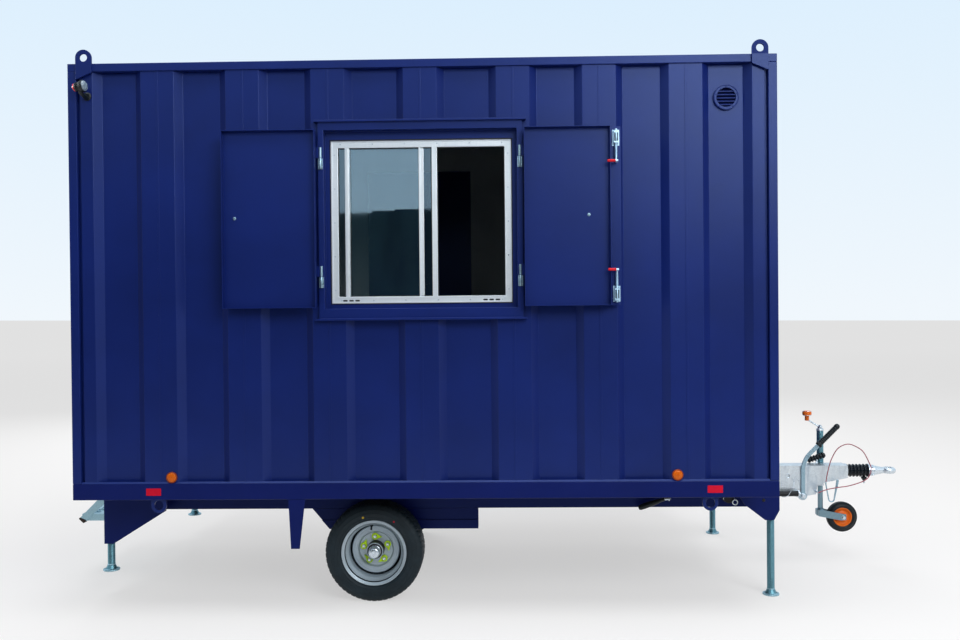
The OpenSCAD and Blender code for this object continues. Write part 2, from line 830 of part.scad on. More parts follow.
// Steel rim about the z axis, outer side up: barrel, dished disc, drum, hub and grease cap
module rim() {
  r = rim_d / 2;
  h = tyre_w / 2 - 12;
  d = disc_y - tyre_y;
  b = r - 12;
  c = nut_pcd / 2;
  edge = [[b - 22, h - 44], [b - 7, h - 30], [b - 7, h - 16], [b - 4, h - 5], [r - 5, h], [r, h - 3], [r - 1, h - 12],
    [b, h - 12], [b, h - 28], [b - 16, h - 42]];
  rotate_extrude($fn = 96)
    polygon(concat(edge, [for (i = [len(edge) - 1:-1:0]) [edge[i][0], -edge[i][1]]]));
  rotate_extrude($fn = 96) polygon([[c - 25, d], [c + 22, d], [c + 30, d + 14], [c + 52, d + 15], [b - 31, d - 6],
    [b - 21, d - 14], [b - 21, d - 22], [b - 33, d - 13], [c + 49, d + 8], [c + 33, d + 7], [c + 25, d - 7],
    [c - 25, d - 7]]);
  difference() {
    union() {
      translate([0, 0, 4 - tyre_w / 2]) cylinder(h = tyre_w / 2 + d - 15, r = 108);
      translate([0, 0, d - 30]) cylinder(h = 96, r = c - 24);
      translate([0, 0, d + 65]) cylinder(h = 40, r1 = 31, r2 = 30);
      translate([0, 0, d + 105]) cylinder(h = 9, r1 = 30, r2 = 21);
    }
    translate([0, 0, -tyre_w]) cylinder(h = tyre_w + d + 22, r = stub_r + 0.5);
  }
}

module near_tyre() {
  color(black) translate([axle_x, -tyre_y, hub_z]) rotate([90, 0, 0]) tyre();
}

module near_rim() {
  color(galv) translate([axle_x, -tyre_y, hub_z]) rotate([90, 0, 0]) rim();
}

module far_tyre() {
  color(black) translate([axle_x, tyre_y, hub_z]) rotate([-90, 0, 0]) tyre();
}

module far_rim() {
  color(galv) translate([axle_x, tyre_y, hub_z]) rotate([-90, 0, 0]) rim();
}

// Perforated tread in a folded tray on two hangers and two slanted arms
module entry_step() {
  x0 = -step_tip + 18;
  x1 = -half_l;
  w = step_w / 2;
  color(galv) {
    difference() {
      box(x0, x1, -w, w, step_z - 42, step_z);
      box(x0 + 4, x1 - 4, -w + 4, w - 4, step_z - 43, step_z - 4);
      for (i = [0:2]) for (j = [-5:5]) translate([x0 + 70 + i * 80, j * w / 6, step_z - 5])
        cylinder(h = 6, r = 17, $fn = 8);
    }
    both_sides() {
      box(x1 - 8, x1, -w, -w + 40, step_z - 42, ride_h + 60);
      side_plate(-w - 8, -w, [[x0 - 18, step_z - 30], [x0 + 12, step_z - 56], [x1 - 10, ride_h - 25],
        [x1 - 10, ride_h + 45], [x1 - 36, ride_h + 20]]);
      box(x1 - 40, x1, -w - 8, -w, ride_h + 5, ride_h + 45);
    }
  }
}

module drawbar() {
  color(navy) difference() {
    box(axle_x + 50, brake_x - 30, -bar_y / 2, bar_y / 2, tow_z - bar_drop, housing_z1 - plate_t);
    rod_y(tow_tip - pin_hole_back, -bar_y, bar_y, tow_z - 23, 11);
  }
}

// Folded housing over the drawbar's nose, with a round shaft guide and the brake's pivot pin
module coupling_housing() {
  x = housing_x0;
  t = tow_tip;
  f = tow_tip - housing_foot;
  outline = [[x, brake_z], [f, brake_z], [f + 43, brake_z + 8], [f + 52, tow_z - housing_lip],
    [f + 99, tow_z - 0.75 * housing_lip], [nose_x, tow_z - 38], [nose_x, housing_z1], [x, housing_z1]];
  color(galv) {
    difference() {
      union() {
        side_plate(-housing_y, housing_y, outline);
        rod_y(brake_x, -housing_y, housing_y, brake_z, 30);
      }
      box(x - 1, t - 438, -bar_y / 2, bar_y / 2, 0, housing_z1 - plate_t);
      rod_y(t - pin_hole_back, -housing_y - 1, housing_y + 1, tow_z - 23, 11);
    }
    rod_y(brake_x, -lever_y1 - 4, -housing_y, brake_z, 8);
    rod_y(pin_x, cable_y - cable_splay + 3.2, -housing_y, pin_z, 5);
  }
}

module bellows() {
  n = 7;
  p = (collar_x - nose_x) / n;
  color(black) translate([nose_x, 0, tow_z]) rotate([0, 90, 0]) rotate_extrude()
    polygon(concat([[shaft_r, 0]], [for (k = [0:n - 1]) each [[shaft_r + 7, k * p + 1],
      [shaft_r + 15, k * p + p * 0.35], [shaft_r + 15, k * p + p * 0.65],
      [shaft_r + 7, k * p + p - 1]]], [[shaft_r, n * p]]));
}

// Shaft, collar, cone and flat ring with the bore upright
module tow_eye() {
  c = tow_tip - ring_r;
  t = ring_t / 2;
  color(galv) difference() {
    union() {
      rod_x(nose_x, collar_x, 0, tow_z, shaft_r);
      rod_x(collar_x, collar_x + 34, 0, tow_z, 32);
      translate([collar_x + 34, 0, tow_z]) rotate([0, 90, 0]) cylinder(h = c - collar_x - 60, r1 = 30, r2 = 17);
      translate([c, 0, tow_z]) rotate_extrude() polygon([[0, -t], [ring_r - 11, -t], [ring_r - 3, 7 - t],
        [ring_r, 14 - t], [ring_r, t - 14], [ring_r - 3, t - 7], [ring_r - 11, t], [0, t]]);
    }
    rod_z(c, 0, tow_z - ring_t, tow_z + ring_t, eye_r);
  }
}

module brake_strut() {
  color(black) {
    rod_x(housing_x0 + 6, brake_x - 32, -lever_y1 - 22, brake_z + 20, 17);
    box(housing_x0 + 12, housing_x0 + 42, -lever_y1 - 12, -housing_y, brake_z + 10, brake_z + 30);
  }
}

// Flat lever bent forward by 45 degrees, on the housing's pivot pin
module handbrake_lever() {
  c = [brake_x + bend_r, bend_z];
  e = c + bend_r * [-cos(45), sin(45)] + grip_run * [cos(45), sin(45)];
  n = 12 * [-cos(45), sin(45)];
  color(galv) difference() {
    union() {
      side_plate(-lever_y1, -lever_y0, concat([[brake_x - 12, brake_z]], arc(c, bend_r + 12, 180, 135, 12),
        [e + n, e - n], arc(c, bend_r - 12, 135, 180, 12), [[brake_x + 12, brake_z]]));
      rod_y(brake_x, -lever_y1, -lever_y0, brake_z, 22);
    }
    rod_y(brake_x, -lever_y1 - 1, -lever_y0 + 1, brake_z, 8 + pin_gap);
  }
}

module handbrake_grip() {
  c = [brake_x + bend_r, bend_z];
  e = c + bend_r * [-cos(45), sin(45)] + grip_run * [cos(45), sin(45)];
  color(black) translate([e[0], -(lever_y0 + lever_y1) / 2, e[1]]) rotate([0, 45, 0]) {
    cylinder(h = grip_l, r = 16);
    translate([0, 0, grip_l]) sphere(r = 16);
    cylinder(h = 10, r = 20);
  }
}

// Clamp that holds the jockey tube on the far plate, with a slanted toggle over the housing
module jockey_clamp() {
  z0 = tow_z - 20;
  y = jockey_y - jockey_r;
  color(galv) {
    difference() {
      union() {
        rod_z(jockey_x, jockey_y, z0, z0 + 50, jockey_r + 8);
        box(jockey_x - 34, jockey_x + 34, housing_y, jockey_y, z0, z0 + 50);
      }
      rod_z(jockey_x, jockey_y, z0 - 1, z0 + 51, jockey_r + 0.1);
    }
    box(jockey_x - 36, jockey_x - 24, housing_y, y, z0 + 40, tow_z + 70);
    translate([jockey_x - 90, y - 14, tow_z + 57]) rotate([0, 72, 0]) cylinder(h = 112, r = 13);
  }
}

module jockey_tube() {
  color(galv) difference() {
    rod_z(jockey_x, jockey_y, tow_z - 110, jockey_top, jockey_r);
    rod_z(jockey_x, jockey_y, tow_z - 111, jockey_top - 6, stem_r + leg_gap);
  }
}

// Crank on top of the tube, with its knob
module jockey_crank() {
  color(orange) {
    rod_z(jockey_x, jockey_y, jockey_top, jockey_top + 16, 15);
    translate([jockey_x, jockey_y, jockey_top + 8]) rotate([0, -58, 0]) cylinder(h = 97, r = 5);
    rod_z(jockey_x - 82, jockey_y, jockey_top + 52, jockey_top + 85, 12);
    rod_z(jockey_x - 82, jockey_y, jockey_top + 85, jockey_top + 113, 27);
  }
}

module jockey_stem() {
  color(galv) rod_z(jockey_x, jockey_y, fork_z, jockey_top - 60, stem_r);
}

// Swivel head, slanted fork cheeks and the wheel's pin
module jockey_fork() {
  y = jockey_w / 2 + 6;
  color(galv) translate([0, jockey_y, 0]) {
    rod_z(jockey_x, 0, fork_z - 44, fork_z, stem_r + 8);
    box(jockey_x - 20, jockey_x + 12, -y - 6, y + 6, fork_z - 44, fork_z - 6);
    for (s = [-1, 1]) side_plate(s * (y + 3) - 3, s * (y + 3) + 3, [[jockey_x - 20, fork_z - 44],
      [jockey_x - 20, fork_z - 6], [jockey_x + 12, fork_z - 6], [jwheel_x + 18, jwheel_z + 20],
      [jwheel_x + 18, jwheel_z - 16], [jwheel_x - 14, jwheel_z - 18]]);
    rod_y(jwheel_x, -y - 8, y + 8, jwheel_z, 8);
  }
}

module jockey_tyre() {
  r = jockey_d / 2;
  h = jockey_w / 2;
  color(black) translate([jwheel_x, jockey_y, jwheel_z]) rotate([90, 0, 0]) rotate_extrude()
    polygon(concat([[r - 35, -h + 4], [r - 20, -h]], arc([r - 20, 0], h * 0.8, -52, 52, 8),
      [[r - 20, h], [r - 35, h - 4]]));
}

module jockey_rim() {
  r = jockey_d / 2 - 35;
  h = jockey_w / 2 - 4;
  color(orange) translate([jwheel_x, jockey_y, jwheel_z]) rotate([90, 0, 0])
    rotate_extrude() polygon([[8 + pin_gap, -h - 4], [20, -h - 4], [22, -h + 8], [r - 22, -h + 15], [r - 12, -h + 9],
      [r - 6, -h], [r, -h], [r, h], [r - 6, h], [r - 12, h - 9], [r - 22, h - 15], [22, h - 8], [20, h + 4],
      [8 + pin_gap, h + 4]]);
}

// Centre line of the springy breakaway cable, as x from the tow tip and z from the shaft
function cable_route() = [[pin_x - tow_tip, -118], [-470, -99], [-400, -86], [-338, -78], [-268, -58], [-224, -37],
  [-202, -8], [-194, 30], [-203, 60], [-240, 132], [-288, 167], [-338, 181], [-396, 154], [-437, 84],
  [-458, 8], [-470, -55.2]];

// Smooth curve through the route
function spline(p, i, t) = let (n = len(p) - 1, a = p[max(i - 1, 0)], b = p[i], c = p[i + 1], d = p[min(i + 2, n)])
  0.5 * (2 * b + (c - a) * t + (2 * a - 5 * b + 4 * c - d) * t * t + (3 * b - 3 * c + d - a) * t * t * t);

module breakaway_cable() {
  route = cable_route();
  p = [for (i = [0:len(route) - 2]) each [for (t = [0, 0.34, 0.67]) spline(route, i, t)], route[len(route) - 1]];
  n = len(p);
  r = 3;
  m = 6;
  function side(i) = cable_y + cable_splay * (2 * i / (n - 1) - 1);
  function dir(i) = let (v = p[min(i + 1, n - 1)] - p[max(i - 1, 0)]) v / norm(v);
  points = [for (i = [0:n - 1]) for (k = [0:m - 1]) let (a = 360 * k / m, d = dir(i))
    [p[i][0] + tow_tip - r * cos(a) * d[1], side(i) + r * sin(a), p[i][1] + tow_z + r * cos(a) * d[0]]];
  faces = concat([[for (k = [0:m - 1]) k]], [[for (k = [m - 1:-1:0]) (n - 1) * m + k]],
    [for (i = [0:n - 2]) for (k = [0:m - 1])
      [i * m + k, (i + 1) * m + k, (i + 1) * m + (k + 1) % m, i * m + (k + 1) % m]]);
  color([0.8, 0.2, 0.25]) polyhedron(points, faces);
}

// Long snap hook that hangs from the cable's end
module cable_hook() {
  y = cable_y + cable_splay;
  color(galv) translate([tow_tip, 0, tow_z]) side_plate(y - 4, y + 4, concat([[-475, -56], [-474, -63]],
    arc([-436, -160], 21, 200, 340, 10), [[-389, -46], [-395, -40], [-404, -41], [-405, -48]],
    arc([-436, -160], 14, 340, 200, 10), [[-467, -66], [-466, -56]]));
}

place() bottom_frame();
place() floor();
place() corner_posts();
place() top_frame();
place() roof();
place() window_wall();
place() far_wall_rear();
place() far_wall_front();
place() far_wall_over_door();
place() front_wall();
place() rear_wall();
place() rear_door_frame();
place() rear_door();
place() side_door_frame();
place() side_door();
place() lifting_eyes();
place() window_surround();
place() window_frame();
place() sliding_sash();
place() window_glass();
place() shutter_hinges();
place() rear_shutter();
place() front_shutter();
place() shutter_bolts();
place() wall_vent();
place() side_reflectors();
place() marker_lamps();
place() lashing_rings();
place() chassis_rails();
place() chassis_crossmembers();
place() axle_brackets();
place() axle();
place() mudflaps();
place() leg_brackets();
place() near_front_leg();
place() far_front_leg();
place() near_rear_leg();
place() far_rear_leg();
place() near_tyre();
place() near_rim();
place() far_tyre();
place() far_rim();
place() entry_step();
place() drawbar();
place() coupling_housing();
place() bellows();
place() tow_eye();
place() brake_strut();
place() handbrake_lever();
place() handbrake_grip();
place() jockey_clamp();
place() jockey_tube();
place() jockey_crank();
place() jockey_stem();
place() jockey_fork();
place() jockey_tyre();
place() jockey_rim();
place() breakaway_cable();
place() cable_hook();
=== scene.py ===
import math

import bmesh
import bpy
from mathutils import Matrix, Vector


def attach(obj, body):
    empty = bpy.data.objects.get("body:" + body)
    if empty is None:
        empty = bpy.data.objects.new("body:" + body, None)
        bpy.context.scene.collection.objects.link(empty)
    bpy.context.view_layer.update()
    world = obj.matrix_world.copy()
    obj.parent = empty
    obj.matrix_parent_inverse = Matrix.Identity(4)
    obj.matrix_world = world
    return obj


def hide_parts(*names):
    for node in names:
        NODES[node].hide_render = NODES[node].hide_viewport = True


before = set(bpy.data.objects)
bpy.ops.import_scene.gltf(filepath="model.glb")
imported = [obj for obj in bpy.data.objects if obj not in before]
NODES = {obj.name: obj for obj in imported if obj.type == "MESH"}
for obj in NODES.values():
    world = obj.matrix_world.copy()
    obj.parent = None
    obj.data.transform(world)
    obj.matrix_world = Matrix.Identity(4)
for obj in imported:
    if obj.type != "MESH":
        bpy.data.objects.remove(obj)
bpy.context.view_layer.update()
OX = 0.365  # the cabin's middle lies at x = -OX in the part's frame, in metres
FRAME_TOP = 2.895  # upper face of the top frame, in metres
X3, Y3, Z3 = Vector((1, 0, 0)), Vector((0, 1, 0)), Vector((0, 0, 1))


def P(x, y, z):
    """Cabin millimetres (x from the cabin's middle) to metres in the part's frame."""
    return Vector((x / 1000.0 - OX, y / 1000.0, z / 1000.0))


# ---- materials
class Mat:
    """A small helper round one Principled material."""

    def __init__(self, name, color, rough, metal=0.0):
        self.m = bpy.data.materials.new(name)
        self.m.use_nodes = True
        self.nt = self.m.node_tree
        self.b = self.nt.nodes["Principled BSDF"]
        self.fix("Base Color", (*color, 1))
        self.fix("Roughness", rough)
        self.fix("Metallic", metal)
        self.here = self.nt.nodes.new("ShaderNodeTexCoord").outputs["Object"]
        self.normal = None

    def fix(self, socket, value):
        """One value all over the surface, on the shader's own socket."""
        self.b.inputs[socket].default_value = value

    def put(self, sock, value):
        if isinstance(value, bpy.types.NodeSocket):
            self.nt.links.new(value, sock)
        else:
            sock.default_value = value

    def node(self, kind, inputs=None, **props):
        """A node with its properties set and its inputs linked or filled in."""
        n = self.nt.nodes.new(kind)
        for k, v in props.items():
            setattr(n, k, v)
        for k, v in (inputs or {}).items():
            self.put(n.inputs[k], v)
        return n

    def coord(self, scale):
        return self.node("ShaderNodeMapping", {"Vector": self.here, "Scale": scale}).outputs["Vector"]

    def axis(self, i):
        return self.node("ShaderNodeSeparateXYZ", {0: self.here}).outputs[i]

    def noise(self, scale, detail=3.0, rough=0.55, vec=None, dist=0.0):
        inputs = {"Vector": self.here if vec is None else vec, "Scale": scale, "Detail": detail,
                  "Roughness": rough, "Distortion": dist}
        return self.node("ShaderNodeTexNoise", inputs).outputs["Fac"]

    def voronoi(self, scale, out):
        return self.node("ShaderNodeTexVoronoi", {"Vector": self.here, "Scale": scale}).outputs[out]

    def math(self, op, a, b=0.0):
        return self.node("ShaderNodeMath", {0: a, 1: b}, operation=op).outputs[0]

    def remap(self, fac, lo, hi, f0=0.0, f1=1.0):
        """f0 to f1 becomes lo to hi, held at both ends."""
        inputs = {"Value": fac, "From Min": f0, "From Max": f1, "To Min": lo, "To Max": hi}
        return self.node("ShaderNodeMapRange", inputs).outputs["Result"]

    def mix(self, fac, a, b):
        a, b = ((*c, 1) if isinstance(c, tuple) else c for c in (a, b))
        return self.node("ShaderNodeMix", {0: fac, 6: a, 7: b}, data_type="RGBA").outputs[2]

    def color(self, value):
        self.put(self.b.inputs["Base Color"], value)

    def rough(self, value):
        self.put(self.b.inputs["Roughness"], value)

    def bump(self, height, strength, dist):
        """One layer of relief on top of those before."""
        n = self.node("ShaderNodeBump", {"Strength": strength, "Distance": dist, "Height": height})
        if self.normal is not None:
            self.put(n.inputs["Normal"], self.normal)
        self.normal = n.outputs["Normal"]
        self.put(self.b.inputs["Normal"], self.normal)


def scaled(color, k):
    """A colour times a number, or times another colour channel by channel."""
    return tuple(c * t for c, t in zip(color, k if isinstance(k, tuple) else (k, k, k)))


NAVY = (0.0050, 0.0150, 0.130)
PAINT_TINT = (0.45, 0.60, 1.0, 1)
DUST = (0.075, 0.085, 0.12)
LINING = (0.44, 0.52, 0.54), (0.54, 0.62, 0.64)
ZINC = (0.60, 0.66, 0.71), (0.72, 0.79, 0.84), (0.66, 0.72, 0.77)


def paint(name, inside=None, base=NAVY, shine=0.42, dull=0.0):
    """Satin navy paint: thickness mottling, orange peel, slow waves in the sheet, a little road dust low down.
    inside = (|x|, |y|, z low, z high) in cabin metres: faces within that room box take the pale lining board."""
    m = Mat(name, base, 0.40)
    m.fix("Specular IOR Level", shine)
    m.fix("Specular Tint", PAINT_TINT)
    mottle = m.noise(2.3, 4, 0.6)
    fine = m.noise(60, 2, 0.5)
    col = m.mix(m.remap(mottle, 0, 1, 0.3, 0.7), scaled(base, 0.86), scaled(base, 1.13))
    low = m.remap(m.axis(2), 0.06, 0.0, 0.25, 0.95)
    dust = m.math("MULTIPLY", low, m.remap(m.noise(7, 5, 0.7), 0, 1, 0.35, 0.75))
    col = m.mix(dust, col, DUST)
    rough = m.math("ADD", m.remap(fine, 0.30 + dull, 0.38 + dull), m.math("MULTIPLY", dust, 0.8))
    # The frame's upper face is weathered matt
    rough = m.math("ADD", rough, m.remap(m.axis(2), 0.0, 0.32, FRAME_TOP - 0.003, FRAME_TOP - 0.001))
    if inside:
        lx, ly, z0, z1 = inside
        ax = m.math("ABSOLUTE", m.math("ADD", m.axis(0), OX))
        ay = m.math("ABSOLUTE", m.axis(1))
        az = m.axis(2)
        in_plan = m.math("MULTIPLY", m.math("LESS_THAN", ax, lx), m.math("LESS_THAN", ay, ly))
        in_height = m.math("MULTIPLY", m.math("GREATER_THAN", az, z0), m.math("LESS_THAN", az, z1))
        room = m.math("MULTIPLY", in_plan, in_height)
        board = m.mix(m.remap(m.noise(3.0, 3), 0, 1, 0.3, 0.7), *LINING)
        col = m.mix(room, col, board)
        rough = m.math("ADD", rough, m.math("MULTIPLY", room, 0.2))
    m.color(col)
    m.rough(rough)
    m.bump(m.noise(420, 2, 0.5), 0.06, 0.0004)
    m.bump(m.noise(1.7, 1.5, 0.4), 0.25, 0.012)
    return m.m


def galvanised(name, light=(1.0, 1.0, 1.0), rough=0.42, runs_and_reflection=0.0):
    """Hot-dip zinc: spangle cells, cloudy dulling and, with runs_and_reflection, light and dark flow marks, partly real
    zinc runs and partly painted reflection bands and highlights.
    """
    m = Mat(name, (0.5, 0.52, 0.55), rough, 0.85)
    cell = m.voronoi(150, "Color")
    grey = m.node("ShaderNodeRGBToBW")
    m.put(grey.inputs[0], cell)
    spangle = grey.outputs[0]
    cloud = m.noise(14, 5, 0.65)
    lo, hi, mid = (scaled(c, light) for c in ZINC)
    col = m.mix(m.remap(spangle, 0, 1, 0.15, 0.85), lo, hi)
    col = m.mix(m.remap(cloud, 0, 0.75, 0.45, 0.75), col, mid)
    if runs_and_reflection:
        # Vertical bands: the dark ones are partly zinc runs and partly painted reflection, the near-white ones are
        # painted highlights
        flow_and_reflection_band = m.noise(1.0, 4, 0.6, m.coord((17, 17, 5)), 0.8)
        col = m.mix(m.remap(flow_and_reflection_band, 0, runs_and_reflection, 0.54, 0.74), col, scaled(lo, (0.62, 0.70, 0.78)))
        col = m.mix(m.remap(flow_and_reflection_band, runs_and_reflection, 0, 0.28, 0.46), col, (0.93, 0.97, 1.0))
    m.color(col)
    m.rough(m.math("ADD", m.remap(spangle, rough - 0.10, rough + 0.06), m.remap(cloud, -0.05, 0.10)))
    m.bump(m.noise(260, 3, 0.6), 0.12, 0.0005)
    return m.m


def aluminium(name):
    """Drawn aluminium with fine streaks along x and z."""
    m = Mat(name, (0.72, 0.75, 0.78), 0.34, 0.45)
    along_x = m.noise(1.0, 3, 0.6, m.coord((6, 400, 400)))
    along_z = m.noise(1.0, 3, 0.6, m.coord((400, 400, 6)))
    streak = m.math("MULTIPLY", along_x, along_z)
    m.color(m.mix(m.remap(streak, 0, 1, 0.1, 0.5), (0.76, 0.83, 0.89), (0.88, 0.93, 0.97)))
    m.rough(m.remap(streak, 0.28, 0.42, 0.1, 0.5))
    m.bump(streak, 0.08, 0.0003)
    return m.m


def rubber(name, base, rough, dusty):
    """Dark rubber with a grey bloom in patches."""
    m = Mat(name, base, rough)
    m.fix("Specular IOR Level", 0.28)
    bloom = m.remap(m.noise(9, 5, 0.7), 0, dusty, 0.40, 0.78)
    m.color(m.mix(bloom, base, tuple(c * 2.6 + 0.004 for c in base)))
    m.rough(m.remap(m.noise(40, 3), rough - 0.08, rough + 0.10))
    m.bump(m.noise(500, 2), 0.15, 0.0004)
    return m.m


def plastic(name, base, rough, dark=0.75, shine=0.25):
    """Moulded plastic or a smooth coat, with faint clouds down to dark times the colour."""
    m = Mat(name, base, rough)
    m.fix("Specular IOR Level", shine)
    m.color(m.mix(m.remap(m.noise(30, 3), 0, 1, 0.3, 0.7), scaled(base, dark), base))
    m.rough(m.remap(m.noise(80, 2), rough - 0.05, rough + 0.08))
    m.bump(m.noise(350, 2), 0.08, 0.0003)
    return m.m


def silver_paint(name):
    """Wheel silver with fine flake."""
    m = Mat(name, (0.40, 0.44, 0.50), 0.40, 0.35)
    m.fix("Coat Weight", 0.15)
    flake = m.noise(1500, 1)
    m.color(m.mix(m.remap(flake, 0, 1, 0.3, 0.7), (0.34, 0.42, 0.48), (0.46, 0.55, 0.62)))
    m.rough(m.remap(m.noise(20, 4), 0.34, 0.5))
    m.bump(m.noise(300, 2), 0.05, 0.0003)
    return m.m


def glass(name):
    """Window glass, reflecting like a double pane, with faint smears."""
    m = Mat(name, (0.90, 0.94, 0.95), 0.02)
    m.fix("Transmission Weight", 1.0)
    m.fix("IOR", 2.1)
    m.fix("Specular Tint", (0.55, 0.80, 1.0, 1))
    smear = m.noise(4, 4, 0.6)
    m.rough(m.remap(smear, 0.0, 0.05, 0.4, 0.8))
    m.color(m.mix(smear, (0.88, 0.93, 0.94), (0.93, 0.96, 0.965)))
    m.bump(m.noise(1.1, 1), 0.04, 0.004)
    return m.m


def boards(name):
    """Phenolic-faced ply floor with a fine anti-slip print."""
    m = Mat(name, (0.12, 0.075, 0.045), 0.55)
    grain = m.noise(1.0, 5, 0.65, m.coord((3, 60, 3)))
    m.color(m.mix(m.remap(grain, 0, 1, 0.3, 0.7), (0.085, 0.052, 0.032), (0.17, 0.11, 0.07)))
    m.bump(m.voronoi(180, "Distance"), 0.2, 0.0006)
    return m.m


ROOM = (1.7475, 1.0625, 0.6, 2.90)
M = {
    "navy": paint("navy_paint"),
    "wall": paint("navy_wall_lined", inside=ROOM),
    # Darker, duller copy of the navy: painted shade for the underframe in the shadow under the cabin, and for the
    # bottom frame
    "low": paint("navy_underframe_shaded", base=(0.0030, 0.0085, 0.105), shine=0.22),
    "roof": paint("navy_roof", shine=0.18, dull=0.28),
    "galv": galvanised("galvanised"),
    "zinc": galvanised("bright_zinc", (0.95, 0.97, 0.99), 0.30),
    "leg": galvanised("leg_zinc", (0.19, 0.39, 0.44), 0.38),
    "lever": galvanised("lever_zinc", (0.46, 0.62, 0.70), 0.34),
    # The coupling's zinc carries painted reflection bands and highlights along with its runs
    "housing": galvanised("coupling_zinc", (1.0, 1.0, 1.0), 0.36, 0.75),
    "fork": galvanised("fork_zinc", (0.30, 0.42, 0.47), 0.40),
    "alu": aluminium("aluminium"),
    "glass": glass("window_glass"),
    "tyre": rubber("tyre_rubber", (0.007, 0.015, 0.021), 0.56, 0.5),
    "rubber": rubber("black_rubber", (0.005, 0.009, 0.012), 0.40, 0.2),
    "silver": silver_paint("rim_silver"),
    "black": plastic("black_plastic", (0.016, 0.017, 0.020), 0.42),
    "amber": plastic("amber_lens", (0.72, 0.135, 0.003), 0.22, 0.85),
    "orange": plastic("orange_plastic", (0.92, 0.19, 0.018), 0.36, 0.85),
    "red": plastic("red_plastic", (0.72, 0.008, 0.020), 0.30, 0.85),
    # Painted shade: a dull near-black navy laid where hollows lie in shadow
    "painted_shade": plastic("painted_shade_dark", (0.0015, 0.003, 0.022), 0.8, 0.8, 0.03),
    "step": galvanised("step_zinc", (0.52, 0.74, 0.80), 0.40),
    "bolt": galvanised("bolt_zinc", (0.70, 0.90, 1.04), 0.42),
    "patch": plastic("red_patch", (0.66, 0.004, 0.030), 0.45, 0.88, 0.15),
    "clear": plastic("clear_lens", (0.24, 0.33, 0.42), 0.10, 0.7, 0.6),
    "yellow": plastic("yellow_pointer", (0.58, 0.92, 0.012), 0.42, 0.9),
    "cable": plastic("cable_sheath", (0.42, 0.10, 0.14), 0.30, 0.85),
    "bellows": rubber("bellows_rubber", (0.004, 0.008, 0.013), 0.20, 0.08),
    "amber_dark": plastic("amber_rim", (0.30, 0.045, 0.003), 0.30, 0.85),
    "yellow_paint": plastic("yellow_mark", (0.62, 0.42, 0.03), 0.55, 0.85),
    "brown": rubber("brown_rubber", (0.045, 0.030, 0.022), 0.6, 0.2),
    # Painted shade for the dark rings on the wheel rims
    "gap": plastic("rim_shadow_gap", (0.010, 0.016, 0.022), 0.7, 0.7, 0.08),
    "boards": boards("floor_board"),
}

NODE_MAT = {
    "floor": "boards", "roof": "roof", "window_frame": "alu", "sliding_sash": "alu", "window_glass": "glass",
    "near_tyre": "tyre", "far_tyre": "tyre", "jockey_tyre": "rubber", "near_rim": "silver", "far_rim": "silver",
    "bellows": "rubber", "handbrake_grip": "rubber", "marker_lamps": "rubber", "brake_strut": "black",
    "entry_step": "step", "side_reflectors": "amber", "jockey_crank": "zinc", "jockey_rim": "orange",
    "breakaway_cable": "cable", "cable_hook": "lever", "handbrake_lever": "lever", "jockey_tube": "leg",
    "jockey_stem": "fork", "jockey_fork": "fork", "coupling_housing": "housing", "shutter_hinges": "lever",
    "shutter_bolts": "bolt", "tow_eye": "galv", "jockey_clamp": "galv",
}
LINED = ("window_wall", "far_wall_rear", "far_wall_front", "far_wall_over_door", "front_wall", "rear_wall",
         "window_surround", "rear_door_frame", "side_door_frame", "top_frame")
# These nodes take the darker navy copy, as painted shade
SHADED_UNDERFRAME = ("bottom_frame", "chassis_rails", "chassis_crossmembers", "axle_brackets", "axle", "leg_brackets",
       "mudflaps", "drawbar")
NODE_MAT.update(dict.fromkeys(LINED, "wall"))
NODE_MAT.update(dict.fromkeys(SHADED_UNDERFRAME, "low"))
for n, o in NODES.items():
    key = NODE_MAT.get(n, "leg" if n.endswith("_leg") else "navy")
    if not o.material_slots:
        o.data.materials.append(M[key])
    for s in o.material_slots:
        s.material = M[key]


# ---- mesh helpers
def soften(o, width, degrees):
    """Bevel the edges sharper than an angle."""
    b = o.modifiers.new("edge", "BEVEL")
    b.width = width
    b.segments = 2
    b.limit_method = "ANGLE"
    b.angle_limit = math.radians(degrees)


def link(o):
    bpy.context.scene.collection.objects.link(o)
    return o


def mesh_object(name, bm, material):
    me = bpy.data.meshes.new(name)
    bm.to_mesh(me)
    bm.free()
    me.materials.append(material)
    return link(bpy.data.objects.new(name, me))


def piece(name, bm, mat, body="cabin", smooth=None, bevel=0.0):
    """One piece of the scene: it rides on a body and has a material slot, by default the one for its material."""
    bmesh.ops.recalc_face_normals(bm, faces=bm.faces)
    o = mesh_object(name, bm, M[mat])
    if bevel:
        soften(o, bevel, 35)
    if smooth is not None:
        for p in o.data.polygons:
            p.use_smooth = True
        o.data.set_sharp_from_angle(angle=math.radians(smooth))
    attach(o, body)
    return o


def turns(n):
    """n equal angles round a circle."""
    return [2 * math.pi * k / n for k in range(n)]


def polar(x, z, r, a):
    """The point at radius r and angle a round (x, z)."""
    return x + r * math.cos(a), z + r * math.sin(a)


BOX_FACES = ((0, 1, 3, 2), (4, 6, 7, 5), (0, 4, 5, 1), (2, 3, 7, 6), (0, 2, 6, 4), (1, 5, 7, 3))


def add_block(bm, corners):
    """Block from its eight corners, counted up by the third axis first."""
    vs = [bm.verts.new(c) for c in corners]
    for f in BOX_FACES:
        bm.faces.new([vs[i] for i in f])


def add_box(bm, x0, x1, y0, y1, z0, z1):
    add_block(bm, [P(x, y, z) for x in (x0, x1) for y in (y0, y1) for z in (z0, z1)])


